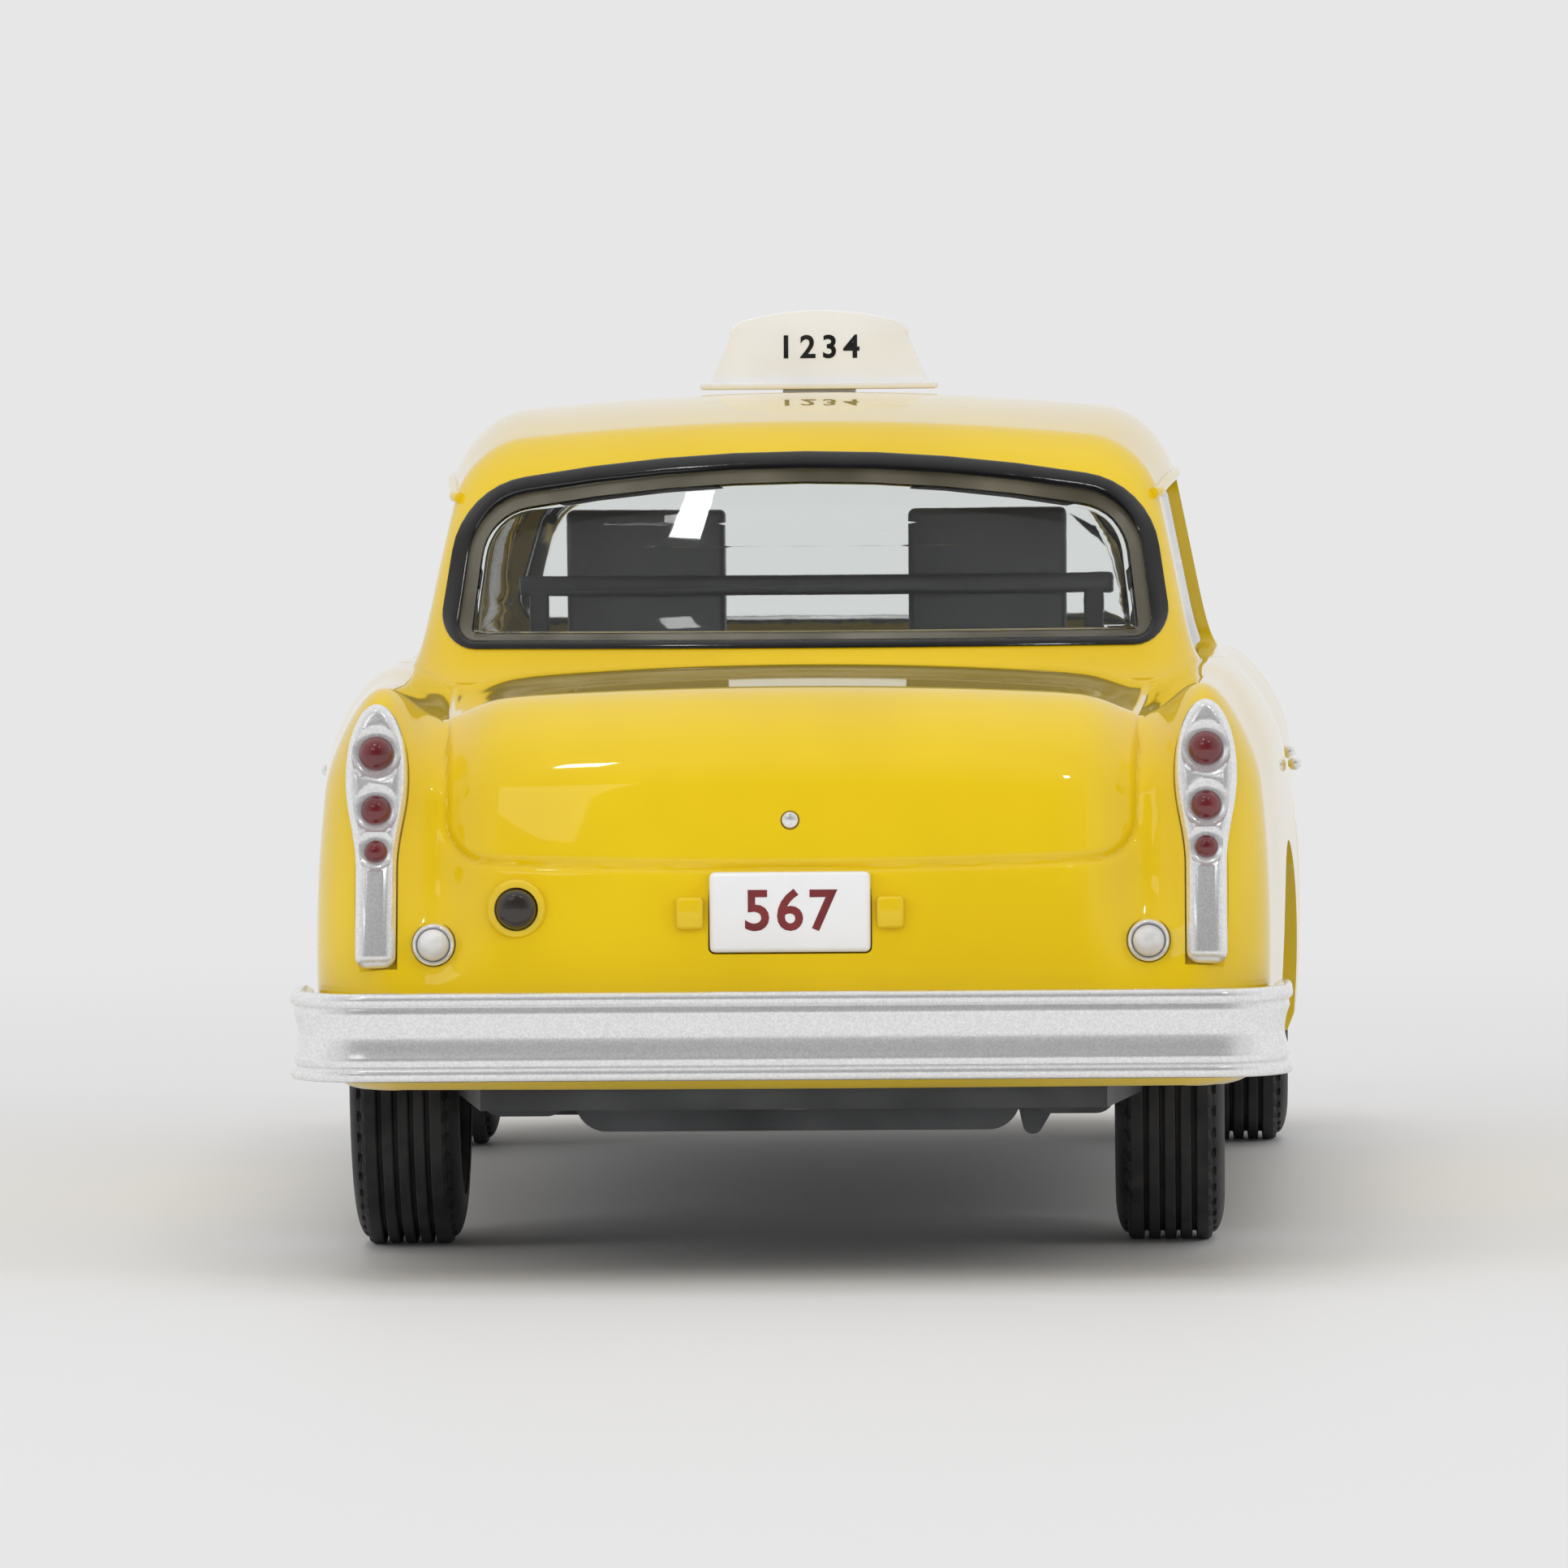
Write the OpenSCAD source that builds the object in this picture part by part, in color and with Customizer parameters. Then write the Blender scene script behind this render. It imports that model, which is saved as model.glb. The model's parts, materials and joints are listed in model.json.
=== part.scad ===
// Collector car: a 1:64 sedan cab with a cast body on a dark cast base. Millimetres.
// The tail points along +Y, Z is up, X = 0 is the centreline, and the tyres stand on Z = 0.

/* [Overall] */
// Length over both bumpers
car_len = 81.3; // [80:0.1:84]
// Width over the doors
body_w = 30.2; // [29.6:0.1:31.4]
// Height of the roof at its crown
roof_z = 25.5; // [25:0.1:26.1]
// Distance between the axles
wheelbase = 47.6; // [46.8:0.1:48.4]
// Rear axle to the back of the rear bumper
rear_overhang = 19.4; // [19:0.1:20]

/* [Body casting] */
// Height of the lower edge of the body
sill_z = 5.4; // [5.2:0.1:5.8]
// Height of the boot deck at its rear crest
boot_z = 17.1; // [16.8:0.1:17.4]
// Height of the scuttle in front of the windscreen
cowl_z = 17; // [16.8:0.1:17.3]
// Height of the nose where the bonnet turns down
nose_z = 15.6; // [15.3:0.1:16]
// Thickness of the cast walls
wall = 1; // [0.8:0.05:1.1]
// How far the nose narrows on each side
nose_taper = 0.7; // [0.4:0.05:1]
// How far the tail narrows on each side
tail_taper = 1.2; // [0.9:0.05:1.4]
// How far the tail leans forward at its crest
tail_rake = 2.3; // [1.8:0.1:2.6]
// How far the nose leans back at its crest
nose_rake = 1.4; // [1:0.1:1.8]
// Distance of the hollow between deck and wing from the centreline
valley_x = 10.4; // [10.2:0.05:10.6]
// Depth of that hollow at the tail
valley_depth = 0.9; // [0.6:0.05:1.1]
// Height of the crest of each tail fin above the plain wing
fin_rise = 0.8; // [0.5:0.05:1.1]
// Rise of the shoulder line beside the cabin
shoulder_rise = 0.45; // [0:0.05:0.6]
// Radius of the wheel arches
arch_r = 6.5; // [6.2:0.05:6.8]

/* [Cabin] */
// Place of the foot of the windscreen
screen_y = -13.5; // [-14:0.1:-13]
// Place of the foot of the rear window
backlight_y = 22; // [21.5:0.1:22.4]
// Half width of the cabin at its foot
cabin_half_w = 12.45; // [12.3:0.05:12.6]
// How far each cabin side leans in at the roof
cabin_lean = 1.6; // [1.3:0.05:1.8]
// How far the windscreen and rear window lean in at the roof
cabin_rake = 4.4; // [4:0.1:4.8]
// Height of the lower edge of the side windows
belt_z = 17.4; // [17.2:0.1:17.7]
// Height of the upper edge of the side windows
side_head_z = 22.7; // [22.4:0.1:23]
// Height of the lower edge of the rear window
rear_sill_z = 18.2; // [18:0.1:18.4]
// Height of the upper edge of the rear window
rear_head_z = 23.5; // [23.2:0.1:23.7]
// Half width of the rear window at its lower edge
rear_light_half = 10.65; // [10.5:0.05:10.8]
// Width of the black surround of the front and rear windows
seal_w = 0.45; // [0.35:0.05:0.55]
// Thickness of the clear windows
glass_t = 0.6; // [0.5:0.05:0.7]
// Gap between a window and the wall that it lines
glass_gap = 0.05; // [0.02:0.01:0.1]

/* [Bonnet] */
// Half width of the bonnet
bonnet_half = 9.5; // [9.2:0.05:9.8]
// Place of the rear edge of the bonnet
bonnet_rear_y = -17; // [-17.4:0.1:-16.6]
// Thickness of the bonnet
bonnet_t = 0.8; // [0.7:0.05:0.9]
// Gap along the sides and the front of the bonnet
bonnet_gap = 0.15; // [0.12:0.01:0.2]
// Gap behind the bonnet
bonnet_rear_gap = 0.35; // [0.33:0.01:0.4]
// Distance of the hinge pin behind the bonnet
hinge_back = 4; // [3.9:0.05:4.1]
// Distance of the hinge pin below the scuttle
hinge_down = 2.2; // [2.1:0.05:2.3]
// Radius of the hinge pin
hinge_pin_r = 0.35; // [0.3:0.01:0.4]
// Distance of each hinge arm from the centreline
hinge_arm_x = 6; // [5.8:0.1:6.4]
// Thickness of each hinge arm
hinge_arm_t = 0.8; // [0.7:0.05:0.9]

/* [Wheels] */
// Diameter of the tyres
tyre_d = 11.1; // [10.8:0.1:11.3]
// Width of the tyres at the sidewalls
tyre_w = 3.3; // [3.1:0.05:3.4]
// Width of the tread
tread_w = 2.4; // [2.2:0.05:2.5]
// Diameter of the wheels where the tyres sit
rim_d = 7.2; // [7:0.05:7.4]
// Distance between the middles of the front tyres
front_track = 26.4; // [26.1:0.1:26.5]
// Distance between the middles of the rear tyres
rear_track = 23; // [22.7:0.1:23.2]
// How far the rear axle sits to the left in its end play
rear_shift = 0.5; // [0:0.05:0.55]
// Diameter of the axles
axle_d = 1; // [0.9:0.05:1.1]
// Running clearance round an axle or a hinge pin
run_gap = 0.05; // [0.03:0.01:0.08]

/* [Bumpers and lamps] */
// How far the bumpers stand off the body
bumper_reach = 1.9; // [1.7:0.05:2.1]
// How far each end of the rear bumper stands out past the corner of the tail
bumper_wrap = 0.75; // [0.7:0.05:0.85]
// Height of the lower edge of the bumpers
bumper_z = 6; // [5.9:0.05:6.2]
// Depth of the bumper faces from edge to edge
bumper_h = 2.6; // [2.4:0.05:2.7]
// Distance of the tail lamps from the centreline
tail_lamp_x = 12.15; // [12.05:0.05:12.25]
// Radius of the top tail lamp
tail_lamp_r = 0.52; // [0.48:0.01:0.55]
// Distance of the inner headlamps from the centreline
inner_lamp_x = 8.9; // [8.8:0.05:9]
// Distance of the outer headlamps from the centreline
outer_lamp_x = 11.6; // [11.5:0.05:11.7]
// Height of the headlamps
headlamp_z = 12.3; // [12.1:0.1:12.5]
// Radius of a headlamp lens
headlamp_r = 1.1; // [1:0.05:1.15]
// Clearance round a trim piece in its recess
fit = 0.05; // [0.03:0.01:0.08]

/* [Roof sign] */
// Width of the foot of the sign
sign_w = 7.5; // [7:0.1:8]
// Width of the top of the sign
sign_top_w = 5.6; // [5.2:0.1:6]
// Height of the sign above the roof
sign_h = 2.5; // [2.3:0.1:2.7]
// Depth of the sign from front to back
sign_d = 2.8; // [2.4:0.1:3.2]
// Place of the sign along the roof
sign_y = -0.8; // [-1.5:0.1:0.5]

/* [Base and interior] */
// Height of the underside of the base plate
base_z = 4.9; // [4.7:0.1:5]
// Thickness of the base plate
base_t = 1; // [0.9:0.05:1.1]
// Distance of each base screw from the middle of the car
screw_y = 33.4; // [33:0.1:33.8]
// Diameter of the hole for a display stand screw
stand_hole_d = 2.5; // [2:0.1:3]
// Depth of that hole
stand_hole_depth = 3; // [2.5:0.1:3.4]
// Distance of the front seat back ahead of the foot of the rear window
seat_back_ahead = 17.75; // [17.2:0.1:18.3]
// Height of the tops of the head restraints
headrest_z = 21.6; // [21.4:0.1:21.8]
// Distance of each head restraint from the centreline
headrest_x = 5.3; // [5.1:0.1:5.5]
// Width of a head restraint
headrest_w = 4.9; // [4.6:0.1:5.2]
// Thickness of a head restraint
headrest_t = 1.7; // [1.4:0.1:1.8]
// Height of the walls of the interior tub
tub_h = 6.6; // [6.2:0.1:6.8]
// Thickness of the floor and the walls of the tub
tub_wall = 0.6; // [0.5:0.05:0.7]
// Distance of the back of the tub ahead of the foot of the rear window
tub_rear_gap = 1.35; // [1.3:0.05:1.8]
// Length of the front seat cushion
front_cushion_l = 5.6; // [5.2:0.1:6]
// Length of the rear seat cushion
rear_cushion_l = 5.4; // [5:0.1:5.8]
// Height of the seat cushions
cushion_h = 3.4; // [3:0.1:3.8]
// Thickness of the seat backs
seat_back_t = 2.2; // [2:0.1:2.4]
// Height of the front seat back
front_back_h = 7.9; // [7.5:0.1:8.2]
// Height of the rear seat back
rear_back_h = 8; // [7.6:0.1:8.2]
// Radius of the steering wheel
steering_r = 2.3; // [2:0.1:2.4]

/* [Engine] */
// Width of the engine block
engine_w = 4.4; // [4:0.1:4.8]
// Length of the engine block
engine_l = 10; // [9.5:0.1:10.4]
// Height of the engine block
engine_h = 2.6; // [2.4:0.1:2.8]
// Width of the radiator
radiator_w = 10; // [9:0.1:11]
// Thickness of the radiator
radiator_t = 0.9; // [0.7:0.05:1.1]
// Height of the radiator
radiator_h = 4.6; // [4.2:0.1:4.8]
// Gap between the radiator and the engine
fan_gap = 3.9; // [3.4:0.1:4.4]
// Radius of the air cleaner
air_cleaner_r = 2.4; // [2.2:0.1:2.6]

/* [Hidden] */

$fn = 48;
eps = 0.01;
paint = [0.93, 0.76, 0.08];
silver = [0.76, 0.77, 0.79];
black = [0.06, 0.06, 0.07];
cast_grey = [0.24, 0.25, 0.27];
clear = [0.75, 0.8, 0.8, 0.4];

// ---- Places along the car ----
rear_axle_y = car_len / 2 - rear_overhang;
front_axle_y = rear_axle_y - wheelbase;
tyre_r = tyre_d / 2;
axle_r = axle_d / 2;
tail_y = car_len / 2 - bumper_reach;
nose_y = -tail_y;
half_w = body_w / 2;
bumper_w = 2 * (half_w - tail_taper + bumper_wrap);
// The body is shaped from a rounded box of this height, and its radii across, along and up
box_top = 16.5;
box_radii = [2.6, 2.8, 2.6];
box_foot_radius = 0.8;
deck_crown = 0.35;
cabin_radii = [2, 2, 2.2];
cabin_foot_z = 15.4;
hinge_y = bonnet_rear_y + hinge_back;
hinge_z = cowl_z - hinge_down;

// ---- Curves ----
function clamp(v, low, high) = max(low, min(high, v));
function ease(t) = let (c = clamp(t, 0, 1)) c * c * (3 - 2 * c);
function bell(t) = exp(-t * t);

// Slope and value of a smooth curve through [place, value] pairs in rising order
function slope(t, i) =
    let (a = max(i - 1, 0), b = min(i + 1, len(t) - 1))
    (t[b][1] - t[a][1]) / (t[b][0] - t[a][0]);
function curve(t, y, i = 0) =
    y <= t[0][0] ? t[0][1]
    : i >= len(t) - 1 ? t[len(t) - 1][1]
    : y > t[i + 1][0] ? curve(t, y, i + 1)
    : let (d = t[i + 1][0] - t[i][0], u = (y - t[i][0]) / d, v = 1 - u)
      t[i][1] * (1 + 2 * u) * v * v + t[i + 1][1] * u * u * (3 - 2 * u)
      + slope(t, i) * d * u * v * v - slope(t, i + 1) * d * u * u * v;

// Half width of the body at its widest, and height of its top on the centreline
width_curve = [
    [nose_y, half_w - nose_taper], [nose_y + 5, half_w - nose_taper / 4],
    [front_axle_y, half_w], [rear_axle_y - 12, half_w],
    [rear_axle_y, half_w - tail_taper / 3], [tail_y, half_w - tail_taper]
];
top_curve = [
    [nose_y, nose_z], [front_axle_y, (nose_z + cowl_z) / 2 + 0.1], [screen_y, cowl_z],
    [backlight_y, boot_z + 0.5], [tail_y - 8, boot_z + 0.25], [tail_y, boot_z]
];

// ---- Body form: a point of a box becomes a point of the body skin ----
// p is a point on the box, lo and hi its corners, r its radii; below the middle rz is r_foot
function rounded(p, lo, hi, r, r_foot) =
    let (rr = [r[0], r[1], p[2] < (lo[2] + hi[2]) / 2 ? r_foot : r[2]],
         q = [for (i = [0:2]) clamp(p[i], lo[i] + rr[i], hi[i] - rr[i])],
         d = [for (i = [0:2]) (p[i] - q[i]) / rr[i]],
         n = norm(d))
    n == 0 ? p : [for (i = [0:2]) q[i] + rr[i] * d[i] / n];

function body_skin(p, lo, hi, inset) =
    let (
        r = rounded(p, lo, hi, [for (k = box_radii) k - inset], box_foot_radius),
        side = r[0] < 0 ? -1 : 1,
        rise = clamp((r[2] - sill_z) / (box_top - sill_z), 0, 1),
        z = r[2] + rise * (curve(top_curve, r[1]) - box_top),
        tumble = 1 - 0.028 * pow((z - 10) / 6, 2),
        x = r[0] * curve(width_curve, r[1]) / half_w * tumble,
        to_tail = ease((r[1] - tail_y + 14) / 14),
        to_nose = ease((nose_y + 14 - r[1]) / 14),
        ends = ease((r[1] - tail_y + 6) / 5) + ease((nose_y + 6 - r[1]) / 5),
        valley = bell((abs(x) - valley_x) / 1.15) * (r[1] < 0 ? 0.5 : 1),
        crown = ease((rise - 0.72) / 0.28),
        lean = pow(clamp((z - bumper_z - bumper_h) / (boot_z - bumper_z - bumper_h), 0, 1), 1.3),
        waist = 0.5 * bell((r[1] - 2) / 11) * ease((z - 11.5) / 3.5),
        bow = 0.5 * pow(x / 10, 2),
        fin = to_tail * crown * bell((abs(x) - tail_lamp_x - 0.15) / 1.3),
        shoulder = (1 - to_tail) * (1 + to_nose) * crown * bell((abs(x) - 13) / 1.6)
    )
    [
        x - side * waist * clamp(abs(x) / 6, 0, 1),
        r[1] - to_tail * (tail_rake * lean + bow) + to_nose * (nose_rake * lean + bow) + fin
            - (to_tail - to_nose) * ends * valley_depth * valley * ease((z - 8) / 4),
        z + fin_rise * fin + shoulder_rise * shoulder - rise * deck_crown * pow(min(abs(x), 10) / 10, 2)
            - crown * valley_depth * valley * (0.35 + 0.35 * (to_tail + to_nose))
    ];

// ---- Cabin form, on the same plan ----
function cabin_skin(p, lo, hi, inset) =
    let (
        r = rounded(p, lo, hi, [for (k = cabin_radii) k - inset], 0.3),
        up = clamp((r[2] - cabin_foot_z - 1.4) / (roof_z - cabin_foot_z - 1.4), 0, 1),
        mid_y = (screen_y + backlight_y) / 2,
        half_l = (backlight_y - screen_y) / 2,
        flare = 0.5 * exp(-max(r[2] - cowl_z, 0) / 0.5),
        x = r[0] * (1 - up * cabin_lean / cabin_half_w) + sign(r[0]) * flare * clamp(abs(r[0]) / 6, 0, 1),
        narrow = 1 - 0.045 * ease((r[1] - 6) / 16) - 0.035 * ease((-r[1] - 2) / 12),
        along = (r[1] - mid_y) / half_l
    )
    [
        x * narrow,
        r[1] - along * up * cabin_rake - 1.3 * along * abs(along) * pow(x / 11, 2) + along * flare,
        r[2] - up * up * (0.9 * along * along + 0.45 * pow(x / 9, 2))
    ];

// ---- Closed skins: the six faces of a box, each with its grid of points ----
// The shares run from -1 to 1 across, along and up the box
function mirrored(v) = concat([for (i = [len(v) - 1:-1:1]) -v[i]], v);

function box_face(axis, side, shares, mid, half) =
    let (a = (axis + 1) % 3, b = (axis + 2) % 3)
    [for (u = shares[a], v = shares[b]) [for (i = [0:2])
        mid[i] + half[i] * (i == axis ? side : i == a ? u : v)]];

function face_triangles(first, nu, nv, flip) = [
    for (i = [0:nu - 2], j = [0:nv - 2])
        let (p = first + i * nv + j, q = p + nv, split = (i < (nu - 1) / 2) == (j < (nv - 1) / 2),
             t = split ? [[p, p + 1, q + 1], [p, q + 1, q]] : [[p, p + 1, q], [p + 1, q + 1, q]])
        each flip ? [for (f = t) [f[2], f[1], f[0]]] : t
];

module box_skin(points, shares) {
    n = [for (s = shares) len(s)];
    size = [n[1] * n[2], n[2] * n[0], n[0] * n[1]];
    first = [0, 2 * size[0], 2 * size[0] + 2 * size[1]];
    polyhedron(points, [
        for (axis = [0:2], side = [0, 1])
            each face_triangles(first[axis] + side * size[axis], n[(axis + 1) % 3], n[(axis + 2) % 3], side == 0)
    ], convexity = 8);
}

function box_points(lo, hi, shares) =
    let (mid = (lo + hi) / 2, half = (hi - lo) / 2)
    [for (axis = [0:2], side = [-1, 1]) each box_face(axis, side, shares, mid, half)];

across_fine = mirrored([0, 0.22, 0.43, 0.57, 0.64, 0.69, 0.745, 0.81, 0.88, 1]);
up_fine = [-1, -0.88, -0.5, -0.15, 0.15, 0.4, 0.58, 0.74, 0.88, 1];
across_coarse = mirrored([0, 0.45, 0.7, 0.85, 1]);
up_coarse = [-1, -0.4, 0.2, 0.6, 0.82, 1];

// Shares along a length whose ends are rounded over edge, with steps of about step between
function along_shares(length, edge, step) =
    let (e = 2 * edge / length, n = ceil((length - 2 * edge) / step))
    concat(
        [-1, -1 + e * 0.12, -1 + e * 0.35, -1 + e * 0.65],
        [for (i = [0:n]) -1 + e + i * (2 - 2 * e) / n],
        [1 - e * 0.65, 1 - e * 0.35, 1 - e * 0.12, 1]
    );

module body_form(inset = 0) {
    lo = [-half_w + inset, nose_y + inset, inset > 0 ? sill_z - 2 : sill_z];
    hi = [half_w - inset, tail_y - inset, box_top - inset];
    shares = [
        inset > 0 ? across_coarse : across_fine,
        along_shares(hi[1] - lo[1], 2.8, inset > 0 ? 6 : 3.6),
        inset > 0 ? up_coarse : up_fine
    ];
    box_skin([for (p = box_points(lo, hi, shares)) body_skin(p, lo, hi, inset)], shares);
}

module cabin_form(inset = 0, low = cabin_foot_z) {
    lo = [-cabin_half_w + inset, screen_y + inset, low];
    hi = [cabin_half_w - inset, backlight_y - inset, roof_z - inset];
    shares = [
        mirrored([0, 0.3, 0.6, 0.8, 0.9, 1]),
        along_shares(hi[1] - lo[1], 2, 4.5),
        [-1, -0.6, -0.3, 0.1, 0.4, 0.62, 0.8, 0.92, 1]
    ];
    box_skin([for (p = box_points(lo, hi, shares)) cabin_skin(p, lo, hi, inset)], shares);
}

// A patch of the top skin, from below it to above it
module top_patch(half, y0, y1, below, above, grow = 0) {
    lo = [-half_w, nose_y, sill_z];
    hi = [half_w, tail_y, box_top];
    nx = 12;
    ny = 12;
    function p(i, j) = body_skin(
        [(i / nx * 2 - 1) * (half + grow), y0 + (y1 - y0) * pow(j / ny, 1.25), box_top], lo, hi, 0);
    top = [for (j = [0:ny], i = [0:nx]) p(i, j) + [0, 0, above]];
    bottom = [for (j = [0:ny], i = [0:nx]) p(i, j) - [0, 0, below]];
    m = len(top);
    function id(i, j) = j * (nx + 1) + i;
    rim = concat(
        [for (i = [0:nx]) id(i, 0)], [for (j = [1:ny]) id(nx, j)],
        [for (i = [nx - 1:-1:0]) id(i, ny)], [for (j = [ny - 1:-1:1]) id(0, j)]
    );
    polyhedron(concat(top, bottom), concat(
        [for (j = [0:ny - 1], i = [0:nx - 1]) each [
            [id(i, j), id(i + 1, j + 1), id(i + 1, j)], [id(i, j), id(i, j + 1), id(i + 1, j + 1)],
            [m + id(i, j), m + id(i + 1, j), m + id(i + 1, j + 1)],
            [m + id(i, j), m + id(i + 1, j + 1), m + id(i, j + 1)]
        ]],
        [for (k = [0:len(rim) - 1]) let (a = rim[k], b = rim[(k + 1) % len(rim)]) each [
            [a, b, m + b], [a, m + b, m + a]
        ]]
    ), convexity = 4);
}

// A cut-out of a skinned form, kept as one closed skin
module as_one_skin() {
    resize([0, 0, 0]) children();
}

// ---- Window outlines, seen along Y or X ----
// Corners are [across, up, radius]
module rounded_outline(corners) {
    hull() for (c = corners) translate([c[0], c[1]]) circle(r = c[2], $fn = 32);
}

module end_window_outline(sill, head, half_low, half_high, grow = 0) {
    rounded_outline([
        for (s = [-1, 1]) each [
            [s * (half_low - 0.6), sill + 0.6, 0.6 + grow],
            [s * (half_high - 2.2), head - 2.2, 2.2 + grow]
        ]
    ]);
}

module rear_window_outline(grow = 0) {
    end_window_outline(rear_sill_z, rear_head_z, rear_light_half, rear_light_half - 0.45, grow);
}

screen_sill_z = 18;
screen_head_z = 23.1;
screen_half = 10;

module windscreen_outline(grow = 0) {
    end_window_outline(screen_sill_z, screen_head_z, screen_half, screen_half - 0.8, grow);
}

// The middle pillar stands a little ahead of the middle of the cabin
pillar_y = (screen_y + backlight_y) / 2 - 3;

module side_window_outlines(grow = 0) {
    front = screen_y + 3.4;
    rear = backlight_y - 4.15;
    for (pane = [
        [[front, belt_z], [pillar_y - 0.7, belt_z], [pillar_y - 0.7, side_head_z], [front + 3.4, side_head_z]],
        [[pillar_y + 0.7, belt_z], [rear, belt_z], [rear - 2.8, side_head_z],
            [pillar_y + 0.7, side_head_z]]
    ])
        hull() for (c = pane)
            translate([c[0] + (c[0] < (pane[0][0] + pane[1][0]) / 2 ? 0.5 : -0.5),
                c[1] + (c[1] < 20 ? 0.5 : -0.5)])
                circle(r = 0.5 + grow, $fn = 32);
}

// Stands an outline drawn as [x, z] up at y, and runs it towards the tail
module along_y(y, length) {
    translate([0, y + length, 0]) rotate([90, 0, 0]) linear_extrude(length) children();
}

// Stands an outline drawn as [y, z] up and runs it across the car
module across_x(x0, x1) {
    translate([x0, 0, 0]) rotate([90, 0, 90]) linear_extrude(x1 - x0) children();
}

module both_sides() {
    children();
    mirror([1, 0, 0]) children();
}

// ---- Trim places: each trim piece and its recess share one outline and one seat ----
tail_lean = 16;
tail_seat = [tail_lamp_x, tail_y - 2.3, 12.9];
plate_w = 4.7;
plate_h = 2.35;
plate_z = 10.8;
plate_seat_y = tail_y - 0.7;
fuel_cap_x = 8;
fuel_cap_z = 10.92;
fuel_cap_r = 0.6;
fuel_seat_y = tail_y - 1;
reversing_x = 10.45;
reversing_z = 9.88;
reversing_r = 0.48;
reversing_seat_y = tail_y - 1.5;
boot_lock_z = 13.45;
boot_lock_r = 0.24;
boot_lock_y = tail_y - 1.3;
screw_r = 1.2;
front_post_h = 2.1;
screw_l = 2.8;
sign_foot_w = 2.3;
sign_foot_d = 1.6;
sign_seat_z = roof_z - 0.35;
sign_gap = 0.05;
nose_seat_y = nose_y + 0.9;
lamp_seat_y = nose_y + 1.7;

// Tail lamp surround: a drop with a narrow tongue, drawn round the middle of the seat
module tail_lamp_outline(grow = 0) {
    translate([0, -12.9]) {
        hull() {
            translate([0, 16.15]) circle(r = 0.45 + grow, $fn = 32);
            translate([0, 14.9]) circle(r = 0.85 + grow, $fn = 32);
            translate([0, 14.2]) circle(r = 0.8 + grow, $fn = 32);
            translate([0, 12.2]) circle(r = 0.55 + grow, $fn = 32);
        }
        translate([-0.58 - grow, 9.2 - grow]) square([1.16 + 2 * grow, 3.6 + 2 * grow]);
    }
}

module on_tail_lamp_seat(side) {
    translate([side * tail_seat[0], tail_seat[1], tail_seat[2]]) rotate([90 + tail_lean, 0, 0])
        children();
}

module headlamp_outline(grow = 0) {
    hull() for (x = [inner_lamp_x, outer_lamp_x])
        translate([x, headlamp_z]) circle(r = headlamp_r + 0.4 + grow, $fn = 48);
}

grille_half = inner_lamp_x - headlamp_r - 0.75;
grille_z = 9.1;
grille_h = 4.9;

module grille_outline(grow = 0) {
    rounded_outline([for (s = [-1, 1]) each [
        [s * (grille_half - 0.8), grille_z + 0.8, 0.8 + grow],
        [s * (grille_half - 1.2), grille_z + grille_h - 1.2, 1.2 + grow]
    ]]);
}

// ---- Body casting ----
module recesses() {
    // tail lamps, number plate, fuel cap, reversing lamps and boot lock
    for (side = [-1, 1]) on_tail_lamp_seat(side) mirror([0, 0, 1]) linear_extrude(3) tail_lamp_outline(fit);
    translate([-plate_w / 2 - fit, plate_seat_y, plate_z - plate_h / 2 - fit])
        cube([plate_w + 2 * fit, 3, plate_h + 2 * fit]);
    along_y(fuel_seat_y, 3) translate([fuel_cap_x, fuel_cap_z]) circle(r = fuel_cap_r + fit, $fn = 32);
    along_y(reversing_seat_y, 3) for (s = [-1, 1])
        translate([s * reversing_x, reversing_z]) circle(r = reversing_r + 0.13 + fit, $fn = 32);
    along_y(boot_lock_y, 3) translate([0, boot_lock_z]) circle(r = boot_lock_r + fit, $fn = 24);
    // headlamps and grille
    both_sides() along_y(lamp_seat_y - 4, 4) headlamp_outline(fit);
    along_y(nose_seat_y - 4, 4 + wall + 1) grille_outline(fit);
    // foot of the roof sign
    translate([-sign_foot_w / 2 - fit, sign_y - sign_foot_d / 2 - fit, sign_seat_z])
        cube([sign_foot_w + 2 * fit, sign_foot_d + 2 * fit, 2]);
}

module wheel_arch(y) {
    across_x(-half_w - 1, half_w + 1) {
        translate([y, tyre_r]) circle(r = arch_r, $fn = 64);
        translate([y - arch_r, sill_z - 2]) square([2 * arch_r, tyre_r - sill_z + 2]);
    }
}

// A post hangs from the boot deck, and one stands out from the foot of the nose
module screw_posts() {
    foot_z = base_z + base_t + fit;
    translate([0, screw_y, foot_z]) cylinder(r = screw_r + 0.6, h = boot_z - foot_z);
    translate([0, -screw_y, foot_z]) cylinder(r = screw_r + 0.6, h = front_post_h);
    translate([-1, nose_y, foot_z]) cube([2, -screw_y - nose_y, front_post_h]);
}

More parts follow.
